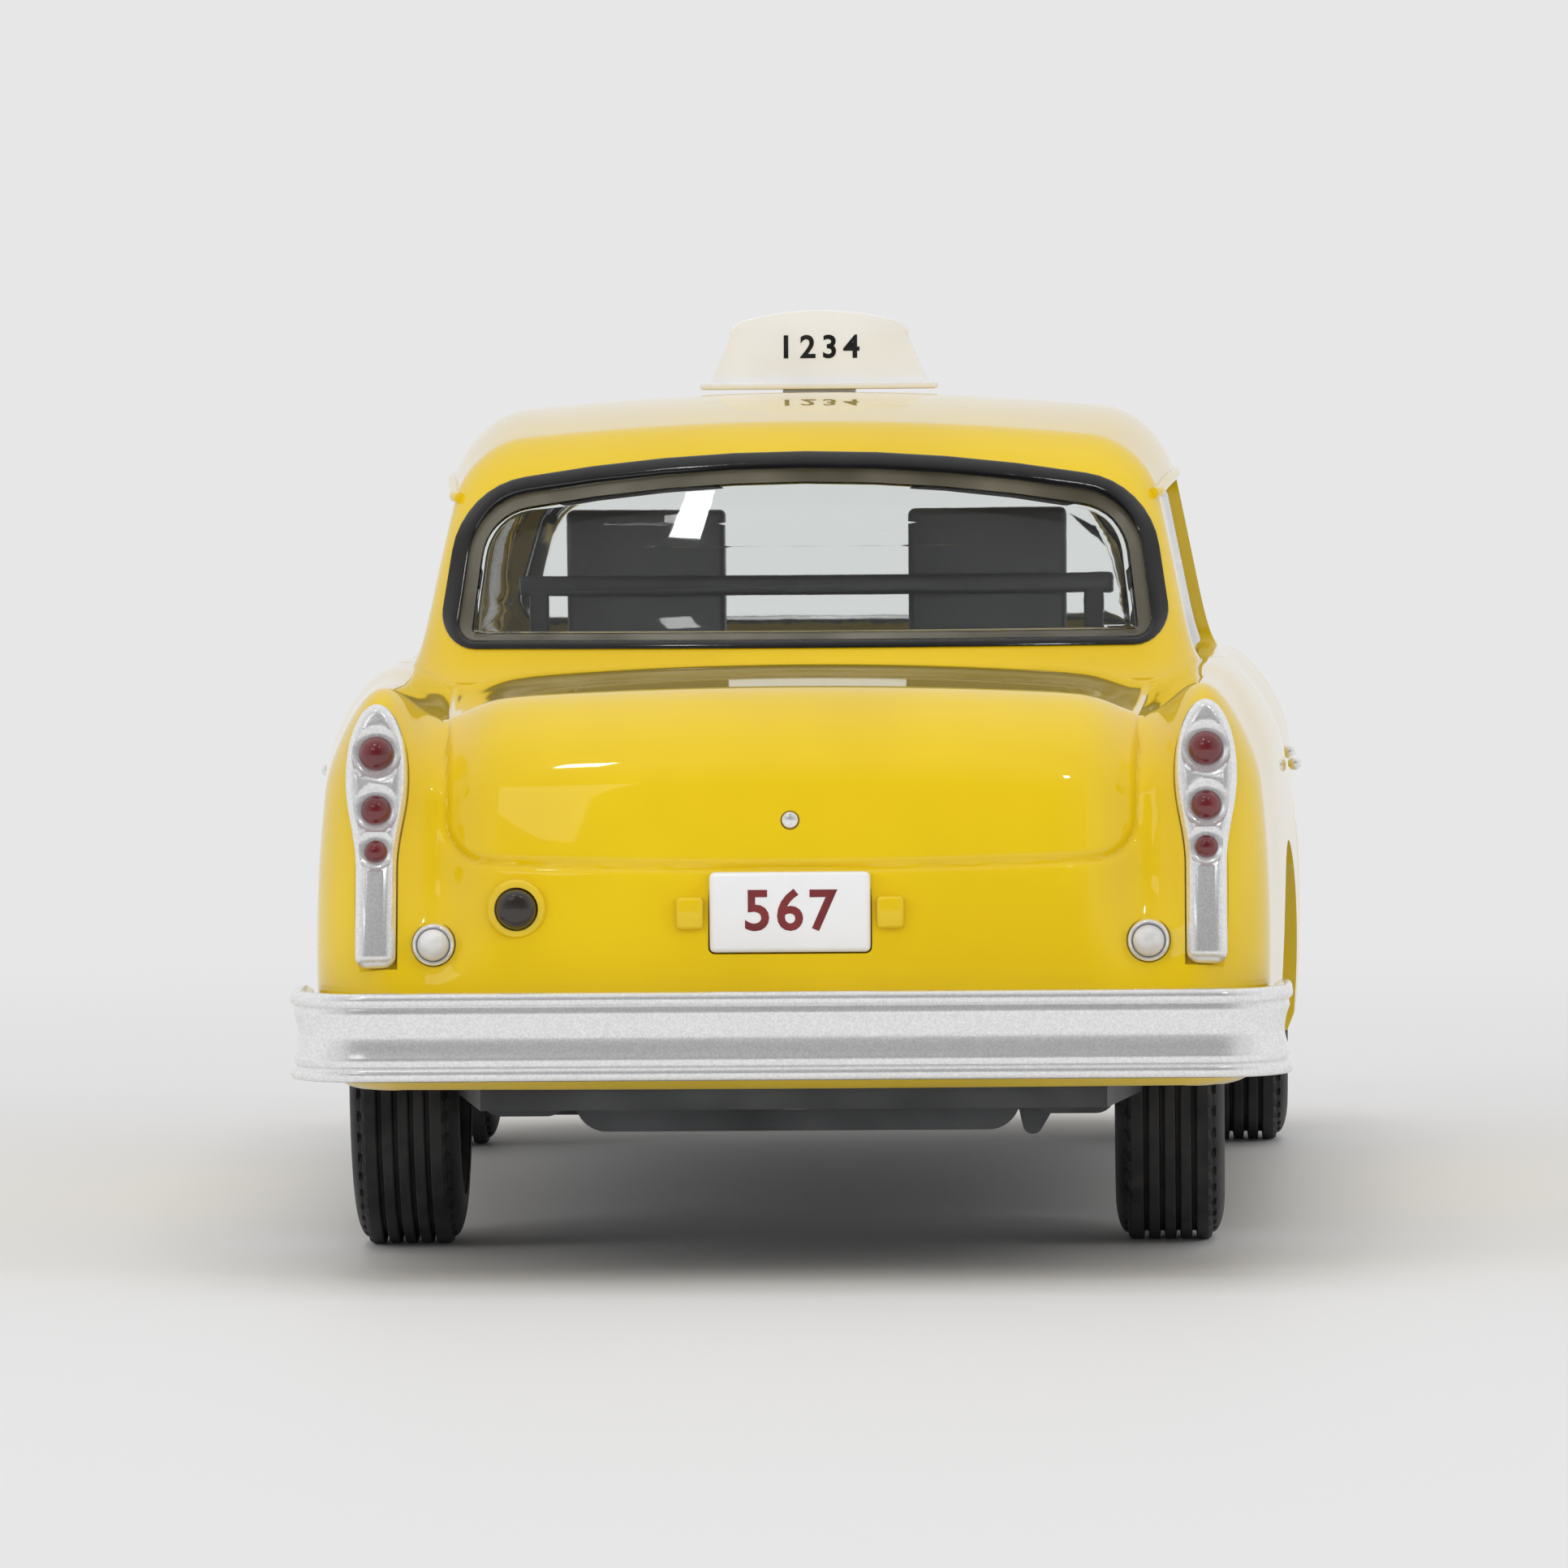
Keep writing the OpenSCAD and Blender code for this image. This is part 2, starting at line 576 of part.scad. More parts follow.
module body_shell() {
    color(paint) union() {
        difference() {
            union() {
                body_form();
                cabin_form();
                // bosses of the plate lamps and the fuel filler
                both_sides() translate([2.5, tail_y - 1.5, plate_z - 0.5]) cube([0.75, 1.4, 1]);
                along_y(fuel_seat_y - 0.5, 1) translate([fuel_cap_x, fuel_cap_z]) circle(r = fuel_cap_r + 0.25, $fn = 32);
            }
            body_form(wall);
            cabin_form(wall, low = cabin_foot_z - 1.5);
            for (y = [front_axle_y, rear_axle_y]) wheel_arch(y);
            along_y(backlight_y - 9, 12) rear_window_outline();
            along_y(screen_y - 3, 12) windscreen_outline();
            across_x(-half_w - 1, half_w + 1) side_window_outlines();
            bonnet_opening();
            recesses();
        }
        difference() {
            intersection() {
                screw_posts();
                body_form(wall - 0.2);
            }
            for (s = [-1, 1]) translate([0, s * screw_y, 0]) cylinder(r = screw_r / 2, h = base_z + screw_l);
        }
    }
}

// ---- Bonnet, on two goose-neck arms ----
module bonnet_opening() {
    top_patch(bonnet_half + bonnet_gap, nose_y - bonnet_gap, bonnet_rear_y + bonnet_rear_gap, 4, 3);
}

arm_reach = hinge_back + 0.25;

module hinge_arm() {
    knuckle_r = hinge_pin_r + 0.4;
    translate([hinge_arm_t / 2, 0, 0]) rotate([0, -90, 0]) difference() {
        union() {
            cylinder(r = knuckle_r, h = hinge_arm_t);
            rotate([0, 0, 218]) translate([0, -0.35, 0]) cube([arm_reach + 0.4, 0.7, hinge_arm_t]);
            rotate([0, 0, 214]) rotate_extrude(angle = 75) translate([arm_reach, 0]) square([0.7, hinge_arm_t]);
        }
        translate([0, 0, -1]) cylinder(r = hinge_pin_r + run_gap, h = hinge_arm_t + 2);
    }
}

module bonnet() {
    color(paint) {
        top_patch(bonnet_half, nose_y + 0.1, bonnet_rear_y, bonnet_t, 0);
        for (s = [-1, 1]) translate([s * hinge_arm_x, hinge_y, hinge_z]) hinge_arm();
    }
}

module bonnet_hinge_pin() {
    length = 2 * (hinge_arm_x + hinge_arm_t / 2 + 1);
    color(silver) translate([-length / 2, hinge_y, hinge_z]) rotate([0, 90, 0])
        cylinder(r = hinge_pin_r, h = length);
}

// ---- Engine bay ----
bay_floor_z = 8.2;
bay_floor_t = 0.7;
bay_half = 8.4;
bay_front_y = nose_seat_y + wall + 2.2;
firewall_y = hinge_y + 0.9;

module engine_bay() {
    lug_t = 0.7;
    color(black) difference() {
        union() {
            translate([-bay_half, bay_front_y, bay_floor_z]) cube([2 * bay_half, firewall_y - bay_front_y + 0.2, bay_floor_t]);
            translate([-bay_half, firewall_y, bay_floor_z]) cube([2 * bay_half, 0.7, hinge_z + 0.7 - bay_floor_z]);
            for (s = [-1, 1], side = [-1, 1])
                translate([s * hinge_arm_x + side * (hinge_arm_t / 2 + 0.15 + lug_t / 2) - lug_t / 2,
                    hinge_y - 0.7, hinge_z - 0.7]) cube([lug_t, firewall_y - hinge_y + 0.9, 1.4]);
        }
        translate([-bay_half, hinge_y, hinge_z]) rotate([0, 90, 0]) cylinder(r = hinge_pin_r, h = 2 * bay_half);
    }
}

engine_y = bay_front_y + radiator_t + fan_gap + engine_l / 2;
engine_foot_z = bay_floor_z + bay_floor_t;

module engine() {
    color([0.25, 0.42, 0.55]) {
        translate([-engine_w / 2, engine_y - engine_l / 2, engine_foot_z]) cube([engine_w, engine_l, engine_h]);
        for (s = [-1, 1]) translate([s * (engine_w / 2 - 0.3), engine_y - engine_l / 2 + 0.6, engine_foot_z + engine_h])
            rotate([0, s * 25, 0]) translate([-0.8, 0, -1]) cube([1.6, engine_l - 1.2, 1.4]);
    }
}

module air_cleaner() {
    color(black) translate([0, engine_y, engine_foot_z + engine_h]) {
        cylinder(r = 0.9, h = 0.8);
        translate([0, 0, 0.75]) cylinder(r = air_cleaner_r, h = 0.9);
        translate([0, 0, 1.6]) cylinder(r = 0.3, h = 0.3);
    }
}

module radiator() {
    color(black) translate([-radiator_w / 2, bay_front_y, engine_foot_z]) cube([radiator_w, radiator_t, radiator_h]);
}

// ---- Base plate ----
base_top = base_z + base_t;
base_half = half_w - wall - 1.5;
neck_half = rear_track / 2 - tyre_w / 2 - rear_shift - 0.6;
front_neck_half = front_track / 2 - tyre_w / 2 - 0.6;
bearing_half_l = 1.8;
stand_y = 2;
stand_cap = 0.4;

module base_outline() {
    tail_end = tail_y - wall - 1.6;
    corners = [
        [front_neck_half - 1.2, -tail_end], [front_neck_half, -tail_end + 3],
        [front_neck_half, front_axle_y + arch_r + 0.4], [base_half, front_axle_y + arch_r + 0.4],
        [base_half, rear_axle_y - arch_r - 0.4], [neck_half, rear_axle_y - arch_r - 0.4],
        [neck_half, rear_axle_y + arch_r + 0.4], [base_half - 2.4, rear_axle_y + arch_r + 0.4],
        [base_half - 3.4, tail_end]
    ];
    polygon(concat(corners, [for (i = [len(corners) - 1:-1:0]) [-corners[i][0], corners[i][1]]]));
}

module axle_bore(y) {
    translate([-half_w, y, tyre_r]) rotate([0, 90, 0]) cylinder(r = axle_r + run_gap, h = 2 * half_w);
}

module chassis_base() {
    color(cast_grey) difference() {
        union() {
            translate([0, 0, base_z]) linear_extrude(base_t) base_outline();
            // axle bearings, rear axle beam, gearbox, frame rails, tank and silencer
            for (s = [-1, 1]) {
                translate([s * 6.6 - 1.6, rear_axle_y - bearing_half_l, tyre_r - 1.5]) cube([3.2, 2 * bearing_half_l, 2.9]);
                translate([s * 8.2 - 1.6, front_axle_y - bearing_half_l, tyre_r - 1.5]) cube([3.2, 2 * bearing_half_l, 2.6]);
                translate([s * 8.6 - 0.6, front_axle_y + 8, base_z - 0.5]) cube([1.2, wheelbase - 16, 0.8]);
            }
            translate([-4.5, rear_axle_y - 1.5, tyre_r - 1.6]) cube([12.6, 3, 2.6]);
            translate([-1.9, rear_axle_y - 14, base_z - 0.7]) cube([1.4, 13, 0.9]);
            translate([-2.6, front_axle_y + 4, base_z - 0.9]) cube([5.2, 10, 1.1]);
            along_y(rear_axle_y + 5.2, 5.4) hull() for (s = [-1, 1]) translate([s * 5.65, base_z + 0.06]) circle(r = 0.96, $fn = 48);
            along_y(rear_axle_y + 7.7, 1.9) hull() {
                translate([-7.1, base_z + 0.13]) circle(r = 0.65, $fn = 24);
                translate([-6.95, base_z - 0.8]) circle(r = 0.3, $fn = 24);
            }
            for (side = [-1, 1]) along_y(rear_axle_y + 7.35, 2.5) hull()
                for (x = [7.45, 8.85]) translate([side * x, base_z + 0.07]) circle(r = 0.55, $fn = 24);
            along_y(0, 11) translate([-5.6, base_z - 0.3]) {
                circle(r = 0.75);
                translate([-0.75, 0]) square([1.5, 0.5]);
            }
            translate([0, stand_y, base_z]) cylinder(r = stand_hole_d / 2 + 1, h = stand_hole_depth + stand_cap);
        }
        for (y = [front_axle_y, rear_axle_y]) axle_bore(y);
        for (s = [-1, 1]) translate([0, s * screw_y, base_z - 1]) cylinder(r = screw_r / 2 + fit, h = 4);
        for (s = [-1, 1]) translate([0, s * screw_y, base_z - 1]) cylinder(r = screw_r + fit, h = 1.4);
        translate([0, stand_y, base_z - 1]) cylinder(r = stand_hole_d / 2, h = stand_hole_depth + 1);
    }
}

module base_screws() {
    color(silver) for (s = [-1, 1]) translate([0, s * screw_y, base_z - 0.1]) difference() {
        union() {
            cylinder(r = screw_r, h = 0.5);
            cylinder(r = screw_r / 2, h = screw_l);
        }
        translate([-screw_r / 2, -0.1, -0.1]) cube([screw_r, 0.2, 0.35]);
        translate([-0.1, -screw_r / 2, -0.1]) cube([0.2, screw_r, 0.35]);
    }
}

// ---- Wheels and axles ----
rim_r = rim_d / 2;
rim_w = tyre_w - 0.8;
hub_depth = 1.6;

// Places a wheel turned round Z so that its outer face looks away from the car
module on_axle(x, y) {
    translate([x, y, tyre_r]) rotate([0, x > 0 ? 90 : -90, 0]) children();
}

module axle(track, y, shift) {
    length = track + 2 * (hub_depth - rim_w / 2);
    color(silver) translate([shift - length / 2, y, tyre_r]) rotate([0, 90, 0]) cylinder(r = axle_r, h = length);
}

module wheel(track, y, shift, side) {
    color(silver) on_axle(side * track / 2 + shift, y) difference() {
        translate([0, 0, -rim_w / 2]) cylinder(r = rim_r, h = rim_w);
        translate([0, 0, rim_w / 2 - 0.5]) cylinder(r = rim_r - 0.35, h = 1);
        translate([0, 0, rim_w / 2 - 0.5 - eps]) rotate_extrude()
            polygon([[1.9, 1], [1.9, 0], [2.1, -0.3], [rim_r - 0.7, -0.3], [rim_r - 0.35, 0], [rim_r - 0.35, 1]]);
        translate([0, 0, -rim_w / 2 - 1]) cylinder(r = axle_r, h = 1 + hub_depth);
        translate([0, 0, -rim_w / 2 - 1]) difference() {
            cylinder(r = rim_r - 0.5, h = 1.6);
            cylinder(r = axle_r + 0.6, h = 1.6);
        }
    }
    color(silver) on_axle(side * track / 2 + shift, y) translate([0, 0, rim_w / 2 - 0.5 - eps])
        intersection() {
            translate([0, 0, -4.1]) sphere(r = 4.6);
            cylinder(r = 1.85, h = 1);
        }
}

groove_w = 0.16;
groove_depth = 0.25;

module tyre(track, y, shift, side) {
    t = tread_w / 2;
    pitch = tread_w / 5;
    half = tyre_w / 2;
    grooves = [for (i = [-1.5:1:1.5]) each [
        [tyre_r, i * pitch - groove_w / 2], [tyre_r - groove_depth, i * pitch - groove_w / 2],
        [tyre_r - groove_depth, i * pitch + groove_w / 2], [tyre_r, i * pitch + groove_w / 2]
    ]];
    outer_wall = [for (a = [0:10:90]) [tyre_r - 1.35 + 1.15 * sin(90 - a), t + 0.08 + (half - t - 0.08) * sin(a)]];
    color(black) on_axle(side * track / 2 + shift, y) rotate_extrude()
        polygon(concat(
            grooves, [[tyre_r, t]], outer_wall, [[rim_r + 0.1, rim_w / 2 + 0.15], [rim_r, rim_w / 2]],
            [[rim_r, -rim_w / 2], [rim_r + 0.1, -rim_w / 2 - 0.15]],
            [for (i = [len(outer_wall) - 1:-1:0]) [outer_wall[i][0], -outer_wall[i][1]]], [[tyre_r, -t]]
        ));
}

// ---- Windows ----
module pane(inset, low) {
    difference() {
        cabin_form(inset, low);
        cabin_form(inset + glass_t, low - 1);
    }
}

pane_inset = wall + glass_gap;
end_zone_depth = 3.1;

// The slanting end of the cabin that the windscreen (end -1) or the rear window (end 1) fills, seen along X
module end_zone(end, grow = 0) {
    foot_y = end > 0 ? backlight_y : screen_y;
    foot_z = cabin_foot_z + 1.4;
    function edge_y(z) = foot_y - end * (end_zone_depth + grow + cabin_rake * (z - foot_z) / (roof_z - foot_z));
    polygon([[edge_y(14), 14], [edge_y(27), 27], [foot_y + end * 3, 27], [foot_y + end * 3, 14]]);
}

module windscreen() {
    color(clear) as_one_skin() intersection() {
        pane(pane_inset, cowl_z);
        along_y(screen_y - 3, 10) windscreen_outline(0.5);
        across_x(-half_w, half_w) end_zone(-1);
    }
}

module rear_window() {
    color(clear) as_one_skin() intersection() {
        pane(pane_inset, cowl_z);
        along_y(backlight_y - 7, 10) rear_window_outline(0.5);
        across_x(-half_w, half_w) end_zone(1);
    }
}

module side_window(side) {
    color(clear) as_one_skin() intersection() {
        pane(pane_inset, cowl_z - 0.3);
        across_x(side > 0 ? 5 : -half_w, side > 0 ? half_w : -5) difference() {
            hull() side_window_outlines(0.4);
            end_zone(-1, glass_gap);
            end_zone(1, glass_gap);
        }
    }
}

// A black band round a window opening: it lines the cut edge and stands a little proud
module window_seal(y, length) {
    as_one_skin() intersection() {
        difference() {
            cabin_form(-0.12, cowl_z - 0.5);
            cabin_form(wall - 0.1, cowl_z - 1);
        }
        along_y(y, length) difference() {
            children(0);
            children(1);
        }
    }
}

module windscreen_seal() {
    color(black) window_seal(screen_y - 3, 9) {
        windscreen_outline(-fit);
        windscreen_outline(-seal_w);
    }
}

module rear_window_seal() {
    color(black) window_seal(backlight_y - 7, 9) {
        rear_window_outline(-fit);
        rear_window_outline(-seal_w);
    }
}

// ---- Interior ----
tub_floor_z = base_z + stand_hole_depth + stand_cap + fit;
tub_half = half_w - wall - 1.9;
tub_front_y = firewall_y + 0.9;
tub_neck_y = rear_axle_y - arch_r - 0.6;
tub_rear_y = backlight_y - tub_rear_gap;
seat_y = backlight_y - seat_back_ahead;

module tub_outline(inset = 0) {
    corners = [
        [tub_half - 1.2 - inset, tub_front_y + inset], [tub_half - inset, tub_front_y + 4],
        [tub_half - inset, tub_neck_y - inset], [neck_half - 0.2 - inset, tub_neck_y - inset],
        [neck_half - 0.2 - inset, tub_rear_y - inset]
    ];
    polygon(concat(corners, [for (i = [len(corners) - 1:-1:0]) [-corners[i][0], corners[i][1]]]));
}

module interior_tub() {
    color(black) translate([0, 0, tub_floor_z]) difference() {
        linear_extrude(tub_h) tub_outline();
        translate([0, 0, tub_wall]) linear_extrude(tub_h) tub_outline(tub_wall);
    }
}

tub_floor_top = tub_floor_z + tub_wall;
seat_foot_z = tub_floor_top + 0.02;
seat_side_gap = 0.5;

// A cushion and a back as one moulding; rear is the rear face of the back
module bench(half, rear, cushion_l, back_h) {
    back_front = rear - seat_back_t;
    translate([-half, back_front + 0.2 - cushion_l, seat_foot_z]) cube([2 * half, cushion_l, cushion_h]);
    translate([-half, back_front, seat_foot_z]) cube([2 * half, seat_back_t, back_h]);
}

module front_seat() {
    color(black) {
        bench(tub_half - tub_wall - seat_side_gap, seat_y + 1, front_cushion_l, front_back_h);
        for (s = [-1, 1])
            translate([s * headrest_x - headrest_w / 2, seat_y + 0.8 - headrest_t, seat_foot_z + front_back_h - 0.92])
                cube([headrest_w, headrest_t, headrest_z - seat_foot_z - front_back_h + 0.92]);
    }
}

module rear_seat() {
    color(black) bench(neck_half - tub_wall - seat_side_gap, tub_rear_y - tub_wall - 0.1, rear_cushion_l, rear_back_h);
}

module dashboard() {
    half = tub_half - tub_wall - 1.6;
    color(black) hull() {
        translate([-half, tub_front_y + tub_wall + 0.1, tub_floor_top + 5]) cube([2 * half, 1.2, 2.6]);
        translate([-half, tub_front_y + tub_wall + 0.1, tub_floor_top + 3]) cube([2 * half, 0.6, 0.3]);
        translate([-half, tub_front_y + tub_wall + 1.3, tub_floor_top + 5.4]) cube([2 * half, 1, 1.4]);
    }
}

module steering_wheel() {
    color(black) translate([headrest_x, tub_front_y + 6, tub_floor_top + 6.3]) rotate([-62, 0, 0]) {
        rotate_extrude() translate([steering_r, 0]) circle(r = 0.25, $fn = 24);
        cylinder(r = 0.6, h = 0.5, center = true);
        for (a = [0, 120, 240]) rotate([0, 0, a]) translate([0, -0.2, -0.15]) cube([steering_r, 0.4, 0.3]);
        translate([0, 0, -3.1]) cylinder(r = 0.3, h = 3.1);
    }
}

module partition_rail() {
    half = 9.2;
    color(black) {
        translate([-half, seat_y + 1.05, headrest_z - 2.6]) cube([2 * half, 0.5, 0.6]);
        for (s = [-1, 1]) translate([s * (half - 0.6) - 0.3, seat_y + 1.05, tub_floor_top + 0.02])
            cube([0.6, 0.5, headrest_z - 2.6 - tub_floor_top + 0.3]);
    }
}

// ---- Roof sign ----
module roof_sign() {
    color([0.96, 0.95, 0.94]) translate([0, sign_y, roof_z + sign_gap]) {
        translate([-sign_foot_w / 2, -sign_foot_d / 2, sign_seat_z - roof_z - sign_gap])
            cube([sign_foot_w, sign_foot_d, roof_z + 0.25 - sign_seat_z]);
        translate([-sign_w / 2, -sign_d / 2, 0]) cube([sign_w, sign_d, 0.2]);
        hull() {
            translate([-sign_w / 2 + 0.3, -sign_d / 2 + 0.25, 0.15]) cube([sign_w - 0.6, sign_d - 0.5, 0.1]);
            for (s = [-1, 1]) translate([s * (sign_top_w / 2 - 0.7), 0, sign_h - 1]) rotate([90, 0, 0])
                cylinder(r = 0.7, h = sign_d - 1.6, center = true, $fn = 32);
            translate([0, 0, sign_h - 0.9]) rotate([90, 0, 0]) cylinder(r = 0.9, h = sign_d - 1.7, center = true, $fn = 32);
        }
    }
}

// ---- Bumpers: a channel section with a bead along each edge ----
bumper_t = 0.55;
bumper_corner = 2.4;
bumper_waist = 0.25;

// Section as [outwards, up]; the face is at 0 and the back behind it
function bumper_section() =
    let (bead = 0.22, waist = [for (i = [0:6]) let (u = i / 6)
        [-bumper_waist * sin(180 * u), 2 * bead + u * (bumper_h - 4 * bead)]])
    concat(
        [[-bumper_t, 0.15], [-bead - 0.1, 0]],
        [for (a = [-60:30:90]) [-bead + bead * cos(a), bead + bead * sin(a)]],
        [for (i = [1:5]) waist[i]],
        [for (a = [-90:30:60]) [-bead + bead * cos(a), bumper_h - bead + bead * sin(a)]],
        [[-bead - 0.1, bumper_h], [-bumper_t, bumper_h - 0.15]]
    );

module bumper(width, wing) {
    flat = width / 2 - bumper_corner;
    face_y = car_len / 2;
    color(silver) {
        translate([0, face_y, bumper_z]) rotate([90, 0, 90]) linear_extrude(2 * flat, center = true)
            polygon(bumper_section());
        both_sides() {
            translate([flat, face_y - bumper_corner, bumper_z]) rotate_extrude(angle = 90)
                translate([bumper_corner, 0]) polygon(bumper_section());
            translate([width / 2, face_y - bumper_corner, bumper_z]) rotate([90, 0, 0])
                linear_extrude(wing) polygon(bumper_section());
            // bracket back to the body
            translate([4.6, tail_y - 0.08, bumper_z + 0.6]) cube([1.6, bumper_reach - bumper_t + 0.1, 1.4]);
        }
    }
}

module rear_bumper() {
    bumper(bumper_w, 3.2);
}

module front_bumper() {
    mirror([0, 1, 0]) bumper(body_w, 0.6);
}

// ---- Lamps and small trim ----
module headlamp_bezel(side) {
    depth = 1.1;
    color(silver) mirror([side < 0 ? 1 : 0, 0, 0]) difference() {
        along_y(lamp_seat_y - depth, depth) headlamp_outline();
        for (x = [inner_lamp_x, outer_lamp_x]) along_y(lamp_seat_y - depth - 1, depth - 0.3 + 1)
            translate([x, headlamp_z]) circle(r = headlamp_r);
    }
}

module headlamp_lenses() {
    color(clear) both_sides() for (x = [inner_lamp_x, outer_lamp_x])
        translate([x, lamp_seat_y - 0.3, headlamp_z]) rotate([90, 0, 0]) {
            cylinder(r = headlamp_r - fit, h = 0.4);
            translate([0, 0, 0.4 - eps]) intersection() {
                translate([0, 0, -1.5]) sphere(r = 1.85);
                cylinder(r = headlamp_r - fit, h = 1);
            }
        }
}

module grille() {
    depth = 1.1;
    color(silver) {
        difference() {
            along_y(nose_seat_y - 0.9, depth) grille_outline();
            along_y(nose_seat_y - 0.9 - 1, depth + 2) grille_outline(-0.35);
        }
        intersection() {
            along_y(nose_seat_y - 0.7, 0.6) grille_outline(-0.3);
            union() {
                for (i = [0:4]) translate([-grille_half, nose_seat_y - 0.7, grille_z + 0.75 + i * 0.85])
                    cube([2 * grille_half, 0.6, 0.22]);
                for (i = [-6:6]) translate([i * 1.15 - 0.1, nose_seat_y - 0.7, grille_z]) cube([0.2, 0.6, grille_h]);
            }
        }
    }
}

module parking_lamps() {
    color([0.9, 0.5, 0.1]) both_sides() translate([grille_half - 1.7, nose_seat_y - 0.72, grille_z + 1.8])
        rotate([90, 0, 0]) cylinder(r = 0.8, h = 0.5);
}

module tail_lamp_bezel(side) {
    color(silver) on_tail_lamp_seat(side) mirror([0, 0, 1]) difference() {
        linear_extrude(0.75) tail_lamp_outline();
        tail_lamp_bores(0);
    }
}

// Heights above the middle of the seat, and radii, of the three lamps
tail_lamps = [[2.45, tail_lamp_r], [0.75, tail_lamp_r - 0.07], [-0.5, tail_lamp_r - 0.18]];

module tail_lamp_bores(gap) {
    for (l = tail_lamps) translate([0, l[0], 0.5]) cylinder(r = l[1] - gap, h = 2);
}

module tail_lamp_lenses() {
    color([0.45, 0.03, 0.05]) for (side = [-1, 1]) on_tail_lamp_seat(side) mirror([0, 0, 1])
        for (l = tail_lamps) translate([0, l[0], 0.5]) intersection() {
            cylinder(r = l[1] - 0.02, h = 1);
            translate([0, 0, 0.1]) sphere(r = l[1]);
        }
}

module reversing_lamp_rims() {
    color(silver) both_sides() along_y(reversing_seat_y, 0.8) translate([reversing_x, reversing_z]) difference() {
        circle(r = reversing_r + 0.13);
        circle(r = reversing_r);
    }
}

module reversing_lamp_lenses() {
    color([0.93, 0.93, 0.95]) both_sides() translate([reversing_x, reversing_seat_y, reversing_z]) rotate([-90, 0, 0]) {
        cylinder(r = reversing_r - 0.02, h = 0.8);
        translate([0, 0, 0.8 - eps]) intersection() {
            sphere(r = reversing_r - 0.02);
            cylinder(r = 1, h = 1);
        }
    }
}

module fuel_cap() {
    color([0.1, 0.07, 0.06]) translate([fuel_cap_x, fuel_seat_y, fuel_cap_z]) rotate([-90, 0, 0]) {
        cylinder(r = fuel_cap_r, h = 0.6);
        translate([0, 0, 0.6 - eps]) intersection() {
            translate([0, 0, -0.6]) sphere(r = 0.85);
            cylinder(r = fuel_cap_r, h = 1);
        }
    }
}

module number_plate() {
    color([0.95, 0.94, 0.95]) along_y(plate_seat_y, 0.6)
        hull() for (x = [-1, 1], z = [-1, 1])
            translate([x * (plate_w / 2 - 0.2), plate_z + z * (plate_h / 2 - 0.2)]) circle(r = 0.2, $fn = 24);
}

module boot_lock() {
    color(silver) translate([0, boot_lock_y, boot_lock_z]) rotate([-90, 0, 0]) cylinder(r = boot_lock_r, h = 0.35);
}

module door_handles() {
    lo = [-half_w, nose_y, sill_z];
    hi = [half_w, tail_y, box_top];
    color(silver) both_sides() for (y = [pillar_y - 2.6, backlight_y - 9.25])
        translate(body_skin([half_w, y, 13.6], lo, hi, 0) + [0.26, 0, 0]) {
            translate([0, 0.9, 0]) rotate([90, 0, 0]) cylinder(r = 0.2, h = 1.8);
            for (s = [-1, 1]) translate([0, s * 0.9, 0]) sphere(r = 0.2);
        }
}

body_shell();
bonnet();
bonnet_hinge_pin();
engine_bay();
engine();
air_cleaner();
radiator();
chassis_base();
base_screws();
axle(front_track, front_axle_y, 0);  // front_axle
axle(rear_track, rear_axle_y, rear_shift);  // rear_axle
wheel(front_track, front_axle_y, 0, 1);  // wheel_front_left
wheel(front_track, front_axle_y, 0, -1);  // wheel_front_right
wheel(rear_track, rear_axle_y, rear_shift, 1);  // wheel_rear_left
wheel(rear_track, rear_axle_y, rear_shift, -1);  // wheel_rear_right
tyre(front_track, front_axle_y, 0, 1);  // tyre_front_left
tyre(front_track, front_axle_y, 0, -1);  // tyre_front_right
tyre(rear_track, rear_axle_y, rear_shift, 1);  // tyre_rear_left
tyre(rear_track, rear_axle_y, rear_shift, -1);  // tyre_rear_right
windscreen();
rear_window();
side_window(1);  // side_window_left
side_window(-1);  // side_window_right
windscreen_seal();
rear_window_seal();
interior_tub();
front_seat();
rear_seat();
dashboard();
steering_wheel();
partition_rail();
roof_sign();
rear_bumper();
front_bumper();
grille();
headlamp_bezel(1);  // headlamp_bezel_left
headlamp_bezel(-1);  // headlamp_bezel_right
headlamp_lenses();
parking_lamps();
tail_lamp_bezel(1);  // tail_lamp_bezel_left
tail_lamp_bezel(-1);  // tail_lamp_bezel_right
tail_lamp_lenses();
reversing_lamp_rims();
reversing_lamp_lenses();
fuel_cap();
number_plate();
boot_lock();
door_handles();
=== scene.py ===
import json
import math

import bpy
import numpy as np
from mathutils import Matrix, Vector

